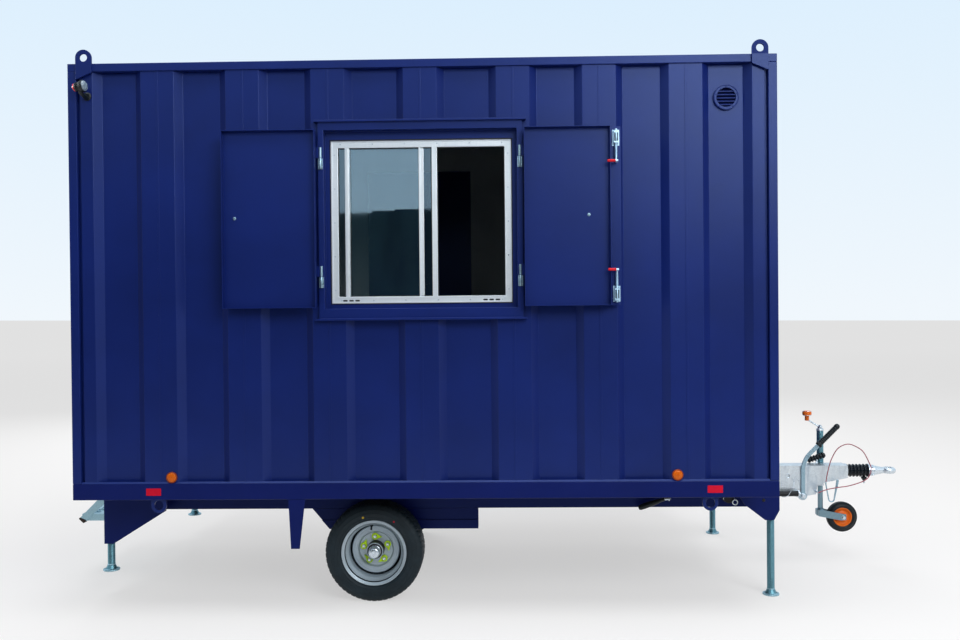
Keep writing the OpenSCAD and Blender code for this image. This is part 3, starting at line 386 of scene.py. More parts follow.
def add_prism(bm, pts, y0, y1):
    """Prism with an outline in x and z, between two y values."""
    a = [bm.verts.new(P(x, y0, z)) for x, z in pts]
    b = [bm.verts.new(P(x, y1, z)) for x, z in pts]
    bm.faces.new(a)
    bm.faces.new(list(reversed(b)))
    for i in range(len(pts)):
        j = (i + 1) % len(pts)
        bm.faces.new((a[i], b[i], b[j], a[j]))


def strip(x, half, z0, z1):
    """Outline of an upright strip."""
    return [(x - half, z0), (x + half, z0), (x + half, z1), (x - half, z1)]


def add_rim(bm, x0, x1, z0, z1, w, y0, y1):
    """Rectangular ring in the x-z plane, inside the given edges."""
    add_box(bm, x0, x1, y0, y1, z0, z0 + w)
    add_box(bm, x0, x1, y0, y1, z1 - w, z1)
    add_box(bm, x0, x0 + w, y0, y1, z0 + w, z1 - w)
    add_box(bm, x1 - w, x1, y0, y1, z0 + w, z1 - w)


def frame_of(d):
    """Two unit vectors square to d and to each other."""
    d = d.normalized()
    a = Z3 if abs(d.z) < 0.9 else X3
    u = d.cross(a).normalized()
    return u, d.cross(u).normalized()


def add_lathe(bm, origin, axis, profile, seg=32):
    """Surface of revolution: profile = [(radius mm, distance along axis mm)]; radius 0 closes an end."""
    axis = axis.normalized()
    u, v = frame_of(axis)
    rings = []
    for r, h in profile:
        c = origin + axis * (h / 1000.0)
        if r <= 1e-6:
            rings.append([bm.verts.new(c)])
        else:
            rings.append([bm.verts.new(c + (u * math.cos(a) + v * math.sin(a)) * (r / 1000.0)) for a in turns(seg)])
    for a, b in zip(rings, rings[1:]):
        for k in range(seg):
            k2 = (k + 1) % seg
            if len(a) == 1 and len(b) == 1:
                continue
            if len(a) == 1:
                bm.faces.new((a[0], b[k], b[k2]))
            elif len(b) == 1:
                bm.faces.new((a[k], b[0], a[k2]))
            else:
                bm.faces.new((a[k], b[k], b[k2], a[k2]))


def add_tube(bm, pts, r, seg, closed=False):
    """Round tube of radius r mm along points in metres."""
    n = len(pts)
    rings = []
    u = None
    for i, p in enumerate(pts):
        a = pts[(i - 1) % n] if closed or i > 0 else pts[0]
        b = pts[(i + 1) % n] if closed or i < n - 1 else pts[-1]
        d = (b - a).normalized()
        if u is None:
            u, v = frame_of(d)
        else:
            u = (u - d * u.dot(d)).normalized()
            v = d.cross(u)
        rings.append([bm.verts.new(p + (u * math.cos(t) + v * math.sin(t)) * (r / 1000.0)) for t in turns(seg)])
    pairs = list(zip(rings, rings[1:])) + ([(rings[-1], rings[0])] if closed else [])
    for a, b in pairs:
        for k in range(seg):
            bm.faces.new((a[k], b[k], b[(k + 1) % seg], a[(k + 1) % seg]))
    if not closed:
        bm.faces.new(rings[0])
        bm.faces.new(list(reversed(rings[-1])))


def add_hex(bm, origin, axis, af, h):
    """Hexagon bolt head or nut with a chamfered top, af across its flats."""
    r = af / math.sqrt(3)
    add_lathe(bm, origin, axis, [(r, 0), (r, h * 0.75), (r * 0.82, h), (0, h)], 6)


def add_screw(bm, origin, axis, r, h):
    """Small pan-head screw."""
    add_lathe(bm, origin, axis, [(r, 0), (r, h * 0.4), (r * 0.7, h), (r * 0.35, h), (r * 0.3, h * 0.55),
                                 (0, h * 0.55)], 12)


# Soft edges on the carried-over CAD solids, in metres; 0 leaves a node as it is
EDGE = {"window_glass": 0, "breakaway_cable": 0, "near_tyre": 0, "far_tyre": 0, "bellows": 0, "wall_vent": 0,
        "entry_step": 0.0008, "shutter_bolts": 0.001, "window_frame": 0.0012, "sliding_sash": 0.001,
        "rear_shutter": 0.001, "front_shutter": 0.001}
EDGE.update(dict.fromkeys(("corner_posts", "top_frame", "bottom_frame", "chassis_rails", "drawbar"), 0.003))
for n, o in NODES.items():
    w = EDGE.get(n, 0.0015)
    if w:
        weld = o.modifiers.new("weld", "WELD")
        weld.merge_threshold = 0.00005
        soften(o, w, 40)

# ---- camera
SENSOR, PHOTO_W, FOCAL_PX = 36.0, 960.0, 943.1
CAMERA_AT = P(408.7, -6002.7, 1593.1)
cam = bpy.data.cameras.new("camera")
cam.sensor_width = SENSOR
cam.lens = FOCAL_PX / PHOTO_W * SENSOR
cam.clip_end = 1000
cam_o = link(bpy.data.objects.new("camera", cam))
yaw, pitch, roll = (math.radians(v) for v in (1.269, -0.543, 0.526))
cam_o.matrix_world = (Matrix.Translation(CAMERA_AT) @ Matrix.Rotation(yaw, 4, "Z")
                      @ Matrix.Rotation(math.pi / 2 + pitch, 4, "X") @ Matrix.Rotation(-roll, 4, "Z"))
bpy.context.scene.camera = cam_o

# ---- breakaway cable
# x from the tip of the tow eye, z from its middle
ROUTE = [(-522, -118), (-470, -99), (-400, -86), (-338, -78), (-268, -58), (-224, -37), (-202, -8), (-194, 30),
         (-203, 60), (-240, 132), (-288, 167), (-338, 181), (-396, 154), (-437, 84), (-458, 8), (-470, -55.2)]
TOW_TIP, TOW_Z, CABLE_Y, SPLAY = 2890.0, 565.0, -110.0, 9.0


def spline(p, i, t):
    """Catmull-Rom point on span i."""
    n = len(p) - 1
    a, b, c, d = p[max(i - 1, 0)], p[i], p[i + 1], p[min(i + 2, n)]
    return tuple(0.5 * (2 * b[k] + (c[k] - a[k]) * t + (2 * a[k] - 5 * b[k] + 4 * c[k] - d[k]) * t * t
                        + (3 * b[k] - 3 * c[k] + d[k] - a[k]) * t ** 3) for k in (0, 1))


cable_pts = [spline(ROUTE, i, t) for i in range(len(ROUTE) - 1) for t in (0, 0.25, 0.5, 0.75)] + [ROUTE[-1]]
cable_path = [P(TOW_TIP + x, CABLE_Y + SPLAY * (2 * i / (len(cable_pts) - 1) - 1), TOW_Z + z)
              for i, (x, z) in enumerate(cable_pts)]
bm = bmesh.new()
add_tube(bm, cable_path, 3.0, 10)
cable = piece("breakaway_cable_sheath", bm, "cable", smooth=60)
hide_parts("breakaway_cable")

# ---- stage and light
# The floor's far edge lies where the photograph has its horizon
fm = Mat("pale_floor", (0.46, 0.46, 0.463), 1.0)
fm.fix("Specular IOR Level", 0.0)
fm.fix("Emission Color", (1, 1, 1, 1))
lp = fm.node("ShaderNodeLightPath").outputs
seen = fm.math("MAXIMUM", lp["Is Camera Ray"], fm.math("MAXIMUM", lp["Is Glossy Ray"], lp["Is Transmission Ray"]))
glow = fm.remap(fm.axis(1), 0.50, 0.56, -4.0, 30.0)
fm.put(fm.b.inputs["Emission Strength"], fm.math("MULTIPLY", seen, glow))
bm = bmesh.new()
for x, y in ((-60, -40), (60, -40), (72, 88), (-155, 284)):
    bm.verts.new((x, y, 0))
bm.faces.new(bm.verts)
floor = mesh_object("floor_plane", bm, fm.m)

# Dark shapes behind the camera, seen only as reflections in the panes and the paint
CARD_Y, CARD_FOOT = -7.0, -0.2
km = Mat("card_dark", (0.02, 0.05, 0.06), 0.9)
blotch = km.remap(km.noise(1.3, 3, 0.6, km.coord((3, 1, 0.6))), 0, 1, 0.35, 0.65)
km.color(km.mix(blotch, (0.010, 0.030, 0.040), (0.03, 0.07, 0.085)))
bm = bmesh.new()
for x0, x1, h in ((-14, -2.3, 3.5), (-2.3, -1.43, 2.735), (-1.43, -1.17, 2.76), (-1.17, 9, 2.775)):
    outline = ((x0, CARD_FOOT), (x1, CARD_FOOT), (x1, h), (x0, h))
    bm.faces.new([bm.verts.new((x, CARD_Y, z)) for x, z in outline])
card = mesh_object("reflection_card", bm, km.m)
card.visible_camera = card.visible_diffuse = card.visible_shadow = False

# A plain white world lights the part; the pale sky shows to the camera, metal and glass
SKY_LOW, SKY_HIGH = (0.871, 0.93, 0.982, 1), (0.716, 0.863, 0.991, 1)
world = bpy.data.worlds.new("studio")
bpy.context.scene.world = world
world.use_nodes = True
wn = world.node_tree
bg = wn.nodes["Background"]
bg.inputs["Color"].default_value = (1.0, 1.0, 1.0, 1)
bg.inputs["Strength"].default_value = 0.42
tc = wn.nodes.new("ShaderNodeTexCoord")
sep = wn.nodes.new("ShaderNodeSeparateXYZ")
wn.links.new(tc.outputs["Generated"], sep.inputs[0])
ramp = wn.nodes.new("ShaderNodeValToRGB")
for element, position, color in zip(ramp.color_ramp.elements, (0.0, 0.32), (SKY_LOW, SKY_HIGH)):
    element.position = position
    element.color = color
wn.links.new(sep.outputs[2], ramp.inputs[0])
sky = wn.nodes.new("ShaderNodeBackground")
wn.links.new(ramp.outputs[0], sky.inputs["Color"])
sky.inputs["Strength"].default_value = 1.0
rays = wn.nodes.new("ShaderNodeLightPath").outputs


def either(a, b):
    n = wn.nodes.new("ShaderNodeMath")
    n.operation = "MAXIMUM"
    wn.links.new(a, n.inputs[0])
    wn.links.new(b, n.inputs[1])
    return n.outputs[0]


both = wn.nodes.new("ShaderNodeMixShader")
wn.links.new(either(rays["Is Camera Ray"], either(rays["Is Glossy Ray"], rays["Is Transmission Ray"])), both.inputs[0])
wn.links.new(bg.outputs[0], both.inputs[1])
wn.links.new(sky.outputs[0], both.inputs[2])
wn.links.new(both.outputs[0], wn.nodes["World Output"].inputs["Surface"])

bpy.context.scene.view_settings.view_transform = "Standard"


def area(name, loc, target, size, power):
    """Rectangular area light, aimed at a point."""
    light = bpy.data.lights.new(name, "AREA")
    light.shape = "RECTANGLE"
    light.size, light.size_y = size
    light.energy = power
    o = link(bpy.data.objects.new(name, light))
    d = Vector(target) - Vector(loc)
    o.matrix_world = Matrix.Translation(Vector(loc)) @ d.to_track_quat("-Z", "Y").to_matrix().to_4x4()
    return o


area("key", (3.8, -7.6, 4.9), (0.9, -1.1, 1.8), (5.0, 3.2), 320)
area("top", (0.0, -2.5, 9.0), (0, 0, 1.5), (8, 6), 420)
area("back", (-2.0, 8.5, 5.0), (0, 0, 1.4), (6, 4), 300).visible_glossy = False
area("left", (-9.0, 0.2, 4.2), (-2.0, -1.1, 2.8), (3.0, 2.5), 30).data.spread = math.radians(30)

# ---- cabin box
# Heights: underside, foot and head of the wall sheets; then how far out the ribs and the frame stand
RIDE, WALL0, WALL1 = 625.0, 710.0, 2853.0
CREST, FRAME_FACE = 1137.0, 1145.0
FOOT, HEAD = WALL0 + 1, WALL1 - 1
RIBS = [-1364.8, -921.9, -479.0, 0.0, 479.0, 921.9, 1364.8]
# Where the window surround and the far door take the place of the wall
SURROUND_X, SURROUND_Z0, SURROUND_Z1 = 545, 1550, 2582
DOORWAY_X0, DOORWAY_X1, DOORWAY_TOP = -620, 230, 2682

# Lap seams down the middle of each rib: a proud sheet edge on both long walls
bm = bmesh.new()
for x in RIBS:
    near = [(FOOT, HEAD)] if abs(x) > SURROUND_X else [(FOOT, SURROUND_Z0), (SURROUND_Z1, HEAD)]
    for z0, z1 in near:
        add_prism(bm, strip(x, 6, z0, z1), -CREST - 1.6, -CREST + 0.5)
    z0 = DOORWAY_TOP if DOORWAY_X0 < x < DOORWAY_X1 else FOOT
    add_prism(bm, strip(x, 6, z0, HEAD), CREST - 0.5, CREST + 1.6)
piece("wall_lap_seams", bm, "navy", bevel=0.0012)

# Stitch welds where the wall sheets meet the bottom frame
bm = bmesh.new()
for sy in (-1, 1):
    for x in RIBS:
        for x0 in (-62, 28):
            if sy > 0 and DOORWAY_X0 - 20 < x + x0 < DOORWAY_X1 + 10:
                continue
            pts = [P(x + x0 + t, sy * (CREST + 0.5 + 0.6 * (k % 2)), WALL0 + 1.5)
                   for k, t in enumerate(range(0, 40, 4))]
            add_tube(bm, pts, 2.6, 6)
piece("sill_welds", bm, "navy", smooth=60)

# Fillets along the foot of the side walls
FILLET_END = 1783
FILLET = ((FRAME_FACE, WALL0), (CREST + 0.6, WALL0), (CREST + 0.6, WALL0 + 9.0))
bm = bmesh.new()
for sy in (-1, 1):
    ends = [[bm.verts.new(P(x, sy * y, z)) for y, z in FILLET] for x in (-FILLET_END, FILLET_END)]
    bm.faces.new(ends[0])
    bm.faces.new(ends[1][::-1])
    for i in range(3):
        j = (i + 1) % 3
        bm.faces.new((ends[0][j], ends[0][i], ends[1][i], ends[1][j]))
piece("sill_fillets", bm, "navy")

# Sealed joints between the corner posts and the wall sheets
bm = bmesh.new()
for sx in (-1, 1):
    for sy in (-1, 1):
        x0, x1 = sorted((sx * 1768.5, sx * 1783.5))
        y0, y1 = sorted((sy * 1103.0, sy * 1121.0))
        add_box(bm, x0, x1, y0, y1, FOOT, HEAD)
piece("post_joint_strips", bm, "navy", bevel=0.002)

# Plain red patches on the bottom frame
bm = bmesh.new()
for x, z in ((-1405, 667), (1501, 668)):
    add_box(bm, x - 39, x + 39, -FRAME_FACE - 1.4, -FRAME_FACE + 0.4, z - 19, z + 19)
piece("red_patches", bm, "patch", bevel=0.0006)

# Bearers under the floor
bm = bmesh.new()
for k in range(9):
    x = -1640 + k * 405
    add_box(bm, x - 25, x + 25, -1061, 1061, RIDE + 0.5, RIDE + 14.5)
piece("floor_bearers", bm, "navy", bevel=0.0015)

# ---- window
# Half width, foot and head of the glass and of the opening; outer plane of the aluminium frame
GX, GZ0, GZ1, OPX, OZ0, OZ1 = 434.0, 1674.0, 2449.0, 470.0, 1638.0, 2485.0
WINDOW_Y = -1094

bm = bmesh.new()
# Round the fixed pane, the sash's pane and the open half
add_rim(bm, -GX, 55, GZ0, GZ1, 5, -1087, -1078)
add_rim(bm, -373, -13, GZ0, GZ1, 4, -1073, -1062)
add_rim(bm, 83, GX, GZ0, GZ1, 4, -1080, -1060)
piece("window_gaskets", bm, "rubber", bevel=0.001)

bm = bmesh.new()
add_rim(bm, -OPX - 1.5, OPX + 1.5, OZ0 - 1.5, OZ1 + 1.5, 9, -1098, -1093.5)
add_rim(bm, -GX - 7, 62, GZ0 - 7, GZ1 + 7, 5, -1094.8, -1093.5)
add_rim(bm, 76, GX + 7, GZ0 - 7, GZ1 + 7, 5, -1094.8, -1093.5)
piece("window_frame_beads", bm, "alu", bevel=0.0012)

# Outer stiles of the sash, in front of the fixed pane
bm = bmesh.new()
add_box(bm, -399, -376, -1092.5, -1084.2, GZ0 - 2, GZ1 + 2)
add_box(bm, -394.5, -380.5, -1095, -1092, GZ0 + 1, GZ1 - 1)
add_box(bm, -13, -3, -1092.5, -1084.2, GZ0 - 2, GZ1 + 2)
add_box(bm, -3, 12, -1087, -1084.2, GZ0 - 2, GZ1 + 2)
piece("sash_stiles", bm, "alu", bevel=0.0012)

bm = bmesh.new()
for k in range(6):
    x = -420 + 168 * k
    for z in (OZ0 + 16, OZ1 - 16):
        add_screw(bm, P(x, WINDOW_Y, z), -Y3, 4.2, 2.2)
for k in range(5):
    z = OZ0 + 70 + 176 * k
    for x in (-OPX + 18, OPX - 18):
        add_screw(bm, P(x, WINDOW_Y, z), -Y3, 4.2, 2.2)
piece("window_screws", bm, "zinc", smooth=40)

bm = bmesh.new()
for x in (-402, -370, -338, 330, 362, 394):
    add_prism(bm, [(x - 9, OZ0 + 11), (x + 9, OZ0 + 11), (x + 13, OZ0 + 15), (x + 9, OZ0 + 19), (x - 9, OZ0 + 19),
                   (x - 13, OZ0 + 15)], WINDOW_Y - 1.2, WINDOW_Y + 0.2)
piece("window_drain_slots", bm, "rubber", bevel=0.0004)

# Sealant line between the aluminium frame and the steel surround
bm = bmesh.new()
add_rim(bm, -OPX - 4, OPX + 4, OZ0 - 4, OZ1 + 4, 5, -1108, -1105.5)
piece("window_sealant", bm, "black", bevel=0.001)

# ---- shutter fittings
HINGE_X, HINGE_ZS = 512, (1720, 2330)
bm = bmesh.new()
for sx in (-1, 1):
    for z in HINGE_ZS:
        for dz in (12, 42):
            for dx in (-7, 7):
                add_screw(bm, P(sx * (HINGE_X + dx), -1164, z + dz), -Y3, 3.2, 1.6)
piece("hinge_screws", bm, "zinc", smooth=40)

# Bright halves of the hinges, which ride with the leaves
SLEEVE = [(4.1, 0), (6.6, 0), (7.6, 1), (7.6, 52.6), (6.6, 53.6), (4.1, 53.6)]
for body, sx in (("rear_shutter", -1), ("front_shutter", 1)):
    bm = bmesh.new()
    for z in HINGE_ZS:
        add_lathe(bm, P(sx * HINGE_X, -1169, z + 57.6), Z3, SLEEVE, 24)
    piece(body + "_hinge_leaves", bm, "lever", body, smooth=40)

STUD = [(8, 0), (8, 1.0), (7, 1.6), (5.4, 1.6), (5.3, 9.6), (4.2, 10.6), (2, 10.6), (1.6, 9.6), (0, 9.6)]
for body, x in (("rear_shutter", -953.6), ("front_shutter", 861.5)):
    bm = bmesh.new()
    add_lathe(bm, P(x, -1187, 2079), -Y3, STUD, 24)
    piece(body + "_stop_stud", bm, "lever", body, smooth=35)

# Slam bolts: each rod runs from its housing's end z in the direction d
BOLT_X, BOLT_Y, BOLT_FACE = 999.5, -1201, -1214.0
GRIP = [(0, 0), (5, 0.5), (6.8, 3), (7.2, 8), (6.7, 14), (7.2, 22), (7.2, 36), (6.7, 40), (6.1, 40), (6.1, 41)]
for z, d, tag in ((2511.0, -1, "upper"), (1631.0, 1, "lower")):
    bm = bmesh.new()
    add_lathe(bm, P(BOLT_X - 48, -1235, z + d * 166), X3, GRIP, 20)
    piece(tag + "_bolt_grip", bm, "red", "front_shutter", smooth=40)
    bm = bmesh.new()
    for dx in (-14, 14):
        for t in (12, 76):
            add_screw(bm, P(BOLT_X + dx, -1191, z + d * t), -Y3, 3.4, 2.0)
    add_lathe(bm, P(BOLT_X, BOLT_Y, z + d * 3), Z3 * d, [(8.5, 0), (8.5, 5), (6.2, 6), (6.2, 7)], 20)
    add_lathe(bm, P(BOLT_X, BOLT_Y, z + d * 74), Z3 * d, [(9, 0), (9, 4), (7.5, 6), (6.2, 6)], 20)
    add_lathe(bm, P(BOLT_X, BOLT_FACE, z + d * 20), Z3 * d,
              [(0, 0), (3.6, 0), (4.4, 1), (4.4, 43), (3.6, 44), (0, 44)], 20)
    for k in range(9):
        add_lathe(bm, P(BOLT_X, BOLT_Y, z + d * (80 + k * 7)), Z3 * d, [(6.1, 0), (8.4, 1.2), (8.4, 2.8), (6.1, 4)], 18)
    piece(tag + "_bolt_hardware", bm, "bolt", "front_shutter", smooth=40)
    # Painted shade: dark strips on the housing's face stand for the shadowed slots
    bm = bmesh.new()
    zc = z + d * 42
    for dx in (-7.4, 7.4):
        add_prism(bm, strip(BOLT_X + dx, 2.6, zc - 21, zc + 21), BOLT_FACE, BOLT_FACE + 1.6)
    piece(tag + "_bolt_slot_shade", bm, "painted_shade", "front_shutter", bevel=0.001)

# ---- vent, reflectors, lamps
VX, VY, VZ = 1577.3, -1115, 2682.0
# Painted shade: a dark disc behind the louvres stands for the shadowed inside of the vent
bm = bmesh.new()
add_lathe(bm, P(VX, -1105.4, VZ), -Y3, [(48.6, 0), (48.6, 0.5), (0, 0.5)], 48)
piece("vent_painted_shade_disc", bm, "painted_shade")
bm = bmesh.new()
for k in range(5):
    x, z = polar(VX, VZ, 57, math.radians(90 + 72 * k))
    add_screw(bm, P(x, VY, z), -Y3, 4.0, 2.2)
piece("vent_screws", bm, "navy", smooth=40)
bm = bmesh.new()
add_lathe(bm, P(VX, VY, VZ), -Y3, [(64, -1), (64, 1.2), (62, 2), (60, 1.2), (60, -1)], 64)
add_lathe(bm, P(VX, VY, VZ), -Y3, [(50.2, -1), (50.2, 0.8), (49.6, 1.2), (49.0, 0.6), (49.0, -6)], 64)
piece("vent_beads", bm, "navy", smooth=40)

bm = bmesh.new()
lens = bmesh.new()
for sx in (-1, 1):
    for sy in (-1, 1):
        o = P(sx * 1310, sy * 1147, 742)
        add_lathe(bm, o, Y3 * sy, [(28.6, -9.5), (28.6, -1), (27, 0.8), (24.5, 0.8), (23.5, -0.5)], 40)
        add_lathe(lens, o, Y3 * sy, [(24, -0.6), (23, 1.2), (17, 2.6), (9, 3.4), (4.5, 3.6), (4.5, 2.4), (0, 2.4)], 40)
piece("reflector_rims", bm, "amber_dark", smooth=40)
piece("reflector_lenses", lens, "amber", smooth=50)

LAMP_X, LAMP_Z, LAMP_Y = -1725.0, 2762.0, 1207.0
LAMP_BODY = [(0, -27), (20, -27), (22, -25), (23.5, -10), (26, 0), (29, 8), (30.5, 12), (30.5, 19), (28, 21),
             (25, 20), (0, 20)]
bm = bmesh.new()
red = bmesh.new()
clear = bmesh.new()
screws = bmesh.new()
for sy in (-1, 1):
    o = P(LAMP_X - 10, sy * LAMP_Y, LAMP_Z)
    lean = Vector((1.0, 0.10 * sy, 0.14)).normalized()
    u, v = frame_of(lean)
    add_lathe(bm, o, lean, LAMP_BODY, 32)
    for k in range(3):
        add_lathe(bm, o + lean * (-0.018 + 0.008 * k), lean, [(22, 0), (25, 1.2), (25, 3.2), (22, 4.4)], 32)
    add_lathe(red, o, -lean, [(20.5, 25), (20.5, 28), (19, 33), (13, 38), (6, 40), (0, 40.4)], 28)
    add_lathe(clear, o, lean, [(27.6, 20), (26.5, 24), (22, 29), (14, 32), (6, 33), (0, 33.2)], 28)
    for a in turns(5):
        bulge = o + lean * 0.024 + (u * math.cos(a) + v * math.sin(a)) * 0.0155
        add_lathe(clear, bulge, lean, [(8, 0), (8, 4), (5, 7.6), (0, 8.6)], 14)
    # Rubber arm down to the foot on the wall
    arm = [(-10, LAMP_Y, -20), (-9, LAMP_Y - 4, -30), (-6, LAMP_Y - 26, -40), (-4, 1158, -46), (-4, 1139, -47)]
    add_tube(bm, [P(LAMP_X + x, sy * y, LAMP_Z + z) for x, y, z in arm], 10.5, 14)
    add_lathe(bm, P(LAMP_X - 5, sy * 1136.5, LAMP_Z - 36), Y3 * sy,
              [(22, 0), (22, 3), (19, 6.5), (13, 8.5), (0, 8.5)], 28)
    for dz in (-52, -20):
        add_screw(screws, P(LAMP_X - 5, sy * 1142, LAMP_Z + dz), Y3 * sy, 4.0, 2.4)
lamp = piece("marker_lamp_bodies", bm, "rubber", smooth=40)
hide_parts("marker_lamps")
piece("marker_lamp_red_lenses", red, "red", smooth=50)
piece("marker_lamp_clear_lenses", clear, "clear", smooth=50)
piece("marker_lamp_screws", screws, "zinc", smooth=40)

# ---- road wheels
HUB_X, HUB_Z, TYRE_Y, DISC = -300.0, 270.0, 767.5, -19.0
# Half of the tyre's section: radius, distance from its middle plane and kind of cut
TYRE_HALF = [
    (168, 73, 0), (180, 73, 0), (181.5, 83, 0), (184, 88.5, 0), (190, 92.5, 0), (195, 94.5, 0), (196, 95.8, 0),
    (198.5, 95.8, 0), (199.5, 95.2, 0), (208, 97.0, 0), (216, 97.4, 0), (217, 98.4, 0), (219, 98.4, 0),
    (220, 97.3, 0), (230, 96.2, 0), (236, 95.0, 0), (237, 95.8, 0), (240, 95.2, 0), (241, 94.0, 0), (247, 92.2, 1),
    (253, 89.6, 1), (259, 85.5, 2), (264, 80.5, 2), (267.5, 74.5, 2), (269.3, 66, 2), (269.6, 55, 2),
    (262.5, 54.2, 0), (262.5, 46.8, 0), (269.8, 46, 3), (270, 34, 3), (270, 23, 3), (262.5, 22.2, 0),
    (262.5, 14.8, 0), (270, 14, 4), (270, 0, 4)]
TYRE_STEPS, PITCH = 324, 6


def tread_cut(kind, i, far_half):
    """Depth of the tread's cuts at step i: shoulder scallops, shoulder slots, rib slots, slots in the middle rib."""
    step = (i + 3) % PITCH if far_half else i % PITCH
    if kind == 1 and step in (0, 1):
        return 1.6
    if kind == 2 and step == 0:
        return 3.4
    if kind == 3 and (i + 2) % PITCH == 0:
        return 3.0
    if kind == 4 and (i + 4) % (2 * PITCH) == 0:
        return 2.0
    return 0.0


def tyre(name, node, body, sy):
    """Tyre with ribbed sidewalls, four grooves round the tread and cut shoulder blocks."""
    prof = TYRE_HALF + [(r, -y, -t) for r, y, t in reversed(TYRE_HALF[:-1])]
    bm = bmesh.new()
    rows = []
    for r, y, t in prof:
        ring = []
        for i, a in enumerate(turns(TYRE_STEPS)):
            x, z = polar(HUB_X, HUB_Z, r - tread_cut(abs(t), i, t < 0), a)
            ring.append(bm.verts.new(P(x, sy * (TYRE_Y + y), z)))
        rows.append(ring)
    rows.append(rows[0])
    for a, b in zip(rows, rows[1:]):
        for i in range(TYRE_STEPS):
            j = (i + 1) % TYRE_STEPS
            bm.faces.new((a[i], a[j], b[j], b[i]))
    o = piece(name, bm, "tyre", body, smooth=38)
    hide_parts(node)


for tag, sy in (("near", -1), ("far", 1)):
    body = tag + "_wheel"
    out = Y3 * sy
    tyre(tag + "_tyre_tread", tag + "_tyre", body, sy)
    # Wheel nuts on the disc, with plastic pointers
    bm = bmesh.new()
    pointers = bmesh.new()
    y0, y1 = sorted((sy * (TYRE_Y + DISC + 6), sy * (TYRE_Y + DISC + 12.5)))
    for k in range(5):
        a = math.radians(90 + 72 * k + 4)
        cx, cz = polar(HUB_X, HUB_Z, 70, a)
        o = P(cx, sy * (TYRE_Y + DISC), cz)
        add_lathe(bm, o, out, [(13.5, 0), (13.5, 3), (11.5, 4)], 24)
        add_hex(bm, o + out * 0.003, out, 19, 17)
        add_lathe(bm, o + out * 0.020, out, [(6.2, -1), (6.2, 4), (5, 5), (0, 5)], 16)
        add_lathe(pointers, o + out * 0.006, out,
                  [(11.4, 0), (19, 0), (19, 5), (17.5, 9), (11.4, 9), (11.4, 0)], 24)
        t = a - math.radians(100)
        left, right = (polar(cx, cz, 16.5, t + spread) for spread in (0.85, -0.85))
        add_prism(pointers, [left, polar(cx, cz, 40, t), right], y0, y1)
    piece(tag + "_wheel_nuts", bm, "zinc", body, smooth=35)
    piece(tag + "_nut_pointers", pointers, "yellow", body, smooth=35, bevel=0.0008)
    # Grease cap and the hub's sleeve
    bm = bmesh.new()
    o = P(HUB_X, sy * (TYRE_Y + DISC), HUB_Z)
    add_lathe(bm, o, out, [(31.6, 67), (33, 68), (33, 72), (31.4, 73), (31.2, 104), (30, 109), (26, 113),
                           (20, 115.3), (11, 116.2), (10, 115.2), (0, 115.2)], 48)
    piece(tag + "_grease_cap", bm, "zinc", body, smooth=40)
    bm = bmesh.new()
    add_lathe(bm, o, out, [(46.4, 0.5), (47.5, 2), (47.5, 16), (46.6, 18), (46.6, 57), (45, 64.5), (41, 66.8),
                           (32, 66.8), (32, 65)], 48)
    piece(tag + "_hub_sleeve", bm, "black", body, smooth=40)
    # Valve on the rim well
    bm = bmesh.new()
    a = math.radians(97)
    x, z = polar(HUB_X, HUB_Z, 143, a)
    lean = (out * 0.9 - Vector((math.cos(a), 0, math.sin(a))) * 0.45).normalized()
    add_lathe(bm, P(x, sy * (TYRE_Y + 34), z), lean, [(0, -3), (9, -2), (9, 2), (6, 6), (5, 26),
                                                           (5.6, 27), (5.6, 36), (4, 38), (0, 38)], 16)
    piece(tag + "_valve", bm, "rubber", body, smooth=40)
    # Balance dots on the sidewall
    for dot, mat, degrees, at, r in (("yellow_dot", "yellow_paint", 106, 205, 6.5), ("red_dot", "patch", 57, 207, 5.0)):
        bm = bmesh.new()
        x, z = polar(HUB_X, HUB_Z, at, math.radians(degrees))
        add_lathe(bm, P(x, sy * (TYRE_Y + 96.6), z), out, [(r, -1.5), (r, 0.7), (r * 0.8, 1.2), (0, 1.2)], 20)
        piece("%s_tyre_%s" % (tag, dot), bm, mat, body)
    # Bead line on the rim flange
    bm = bmesh.new()
    o = P(HUB_X, sy * TYRE_Y, HUB_Z)
    add_lathe(bm, o, out, [(172, 84.6), (175.5, 86.6), (178.6, 86.4), (180.2, 84), (179.2, 81.5), (176, 83.5),
                           (172, 84.6)], 96)
    # Lip round the disc and hump of the bead seat
    add_lathe(bm, o, out, [(117, -5), (119.5, -2.4), (127.5, -2.0), (131.6, -4.4), (132.6, -9), (132.6, -22)], 96)
    add_lathe(bm, o, out, [(98, -6), (100.5, -3.6), (105, -3.3), (107, -4.6)], 96)
    add_lathe(bm, o, out, [(160.4, 62), (158.6, 60.5), (157.8, 58), (158.4, 56), (160, 55)], 96)
    piece(tag + "_rim_edge", bm, "silver", body, smooth=32)
    # Painted shade: dark bands laid on the rim where shadow falls behind the disc's lip, at the foot of the seat and
    # under the flange
    bm = bmesh.new()
    add_lathe(bm, o, out, [(132.4, -19.5), (137, -22.5), (145.2, -29.5), (144.4, -12)], 96)
    add_lathe(bm, o, out, [(159.4, 54.2), (156.4, 51.2)], 96)
    add_lathe(bm, o, out, [(159.6, 67.2), (159.5, 69.6), (162.0, 79.0)], 96)
    piece(tag + "_rim_gaps", bm, "gap", body, smooth=40)

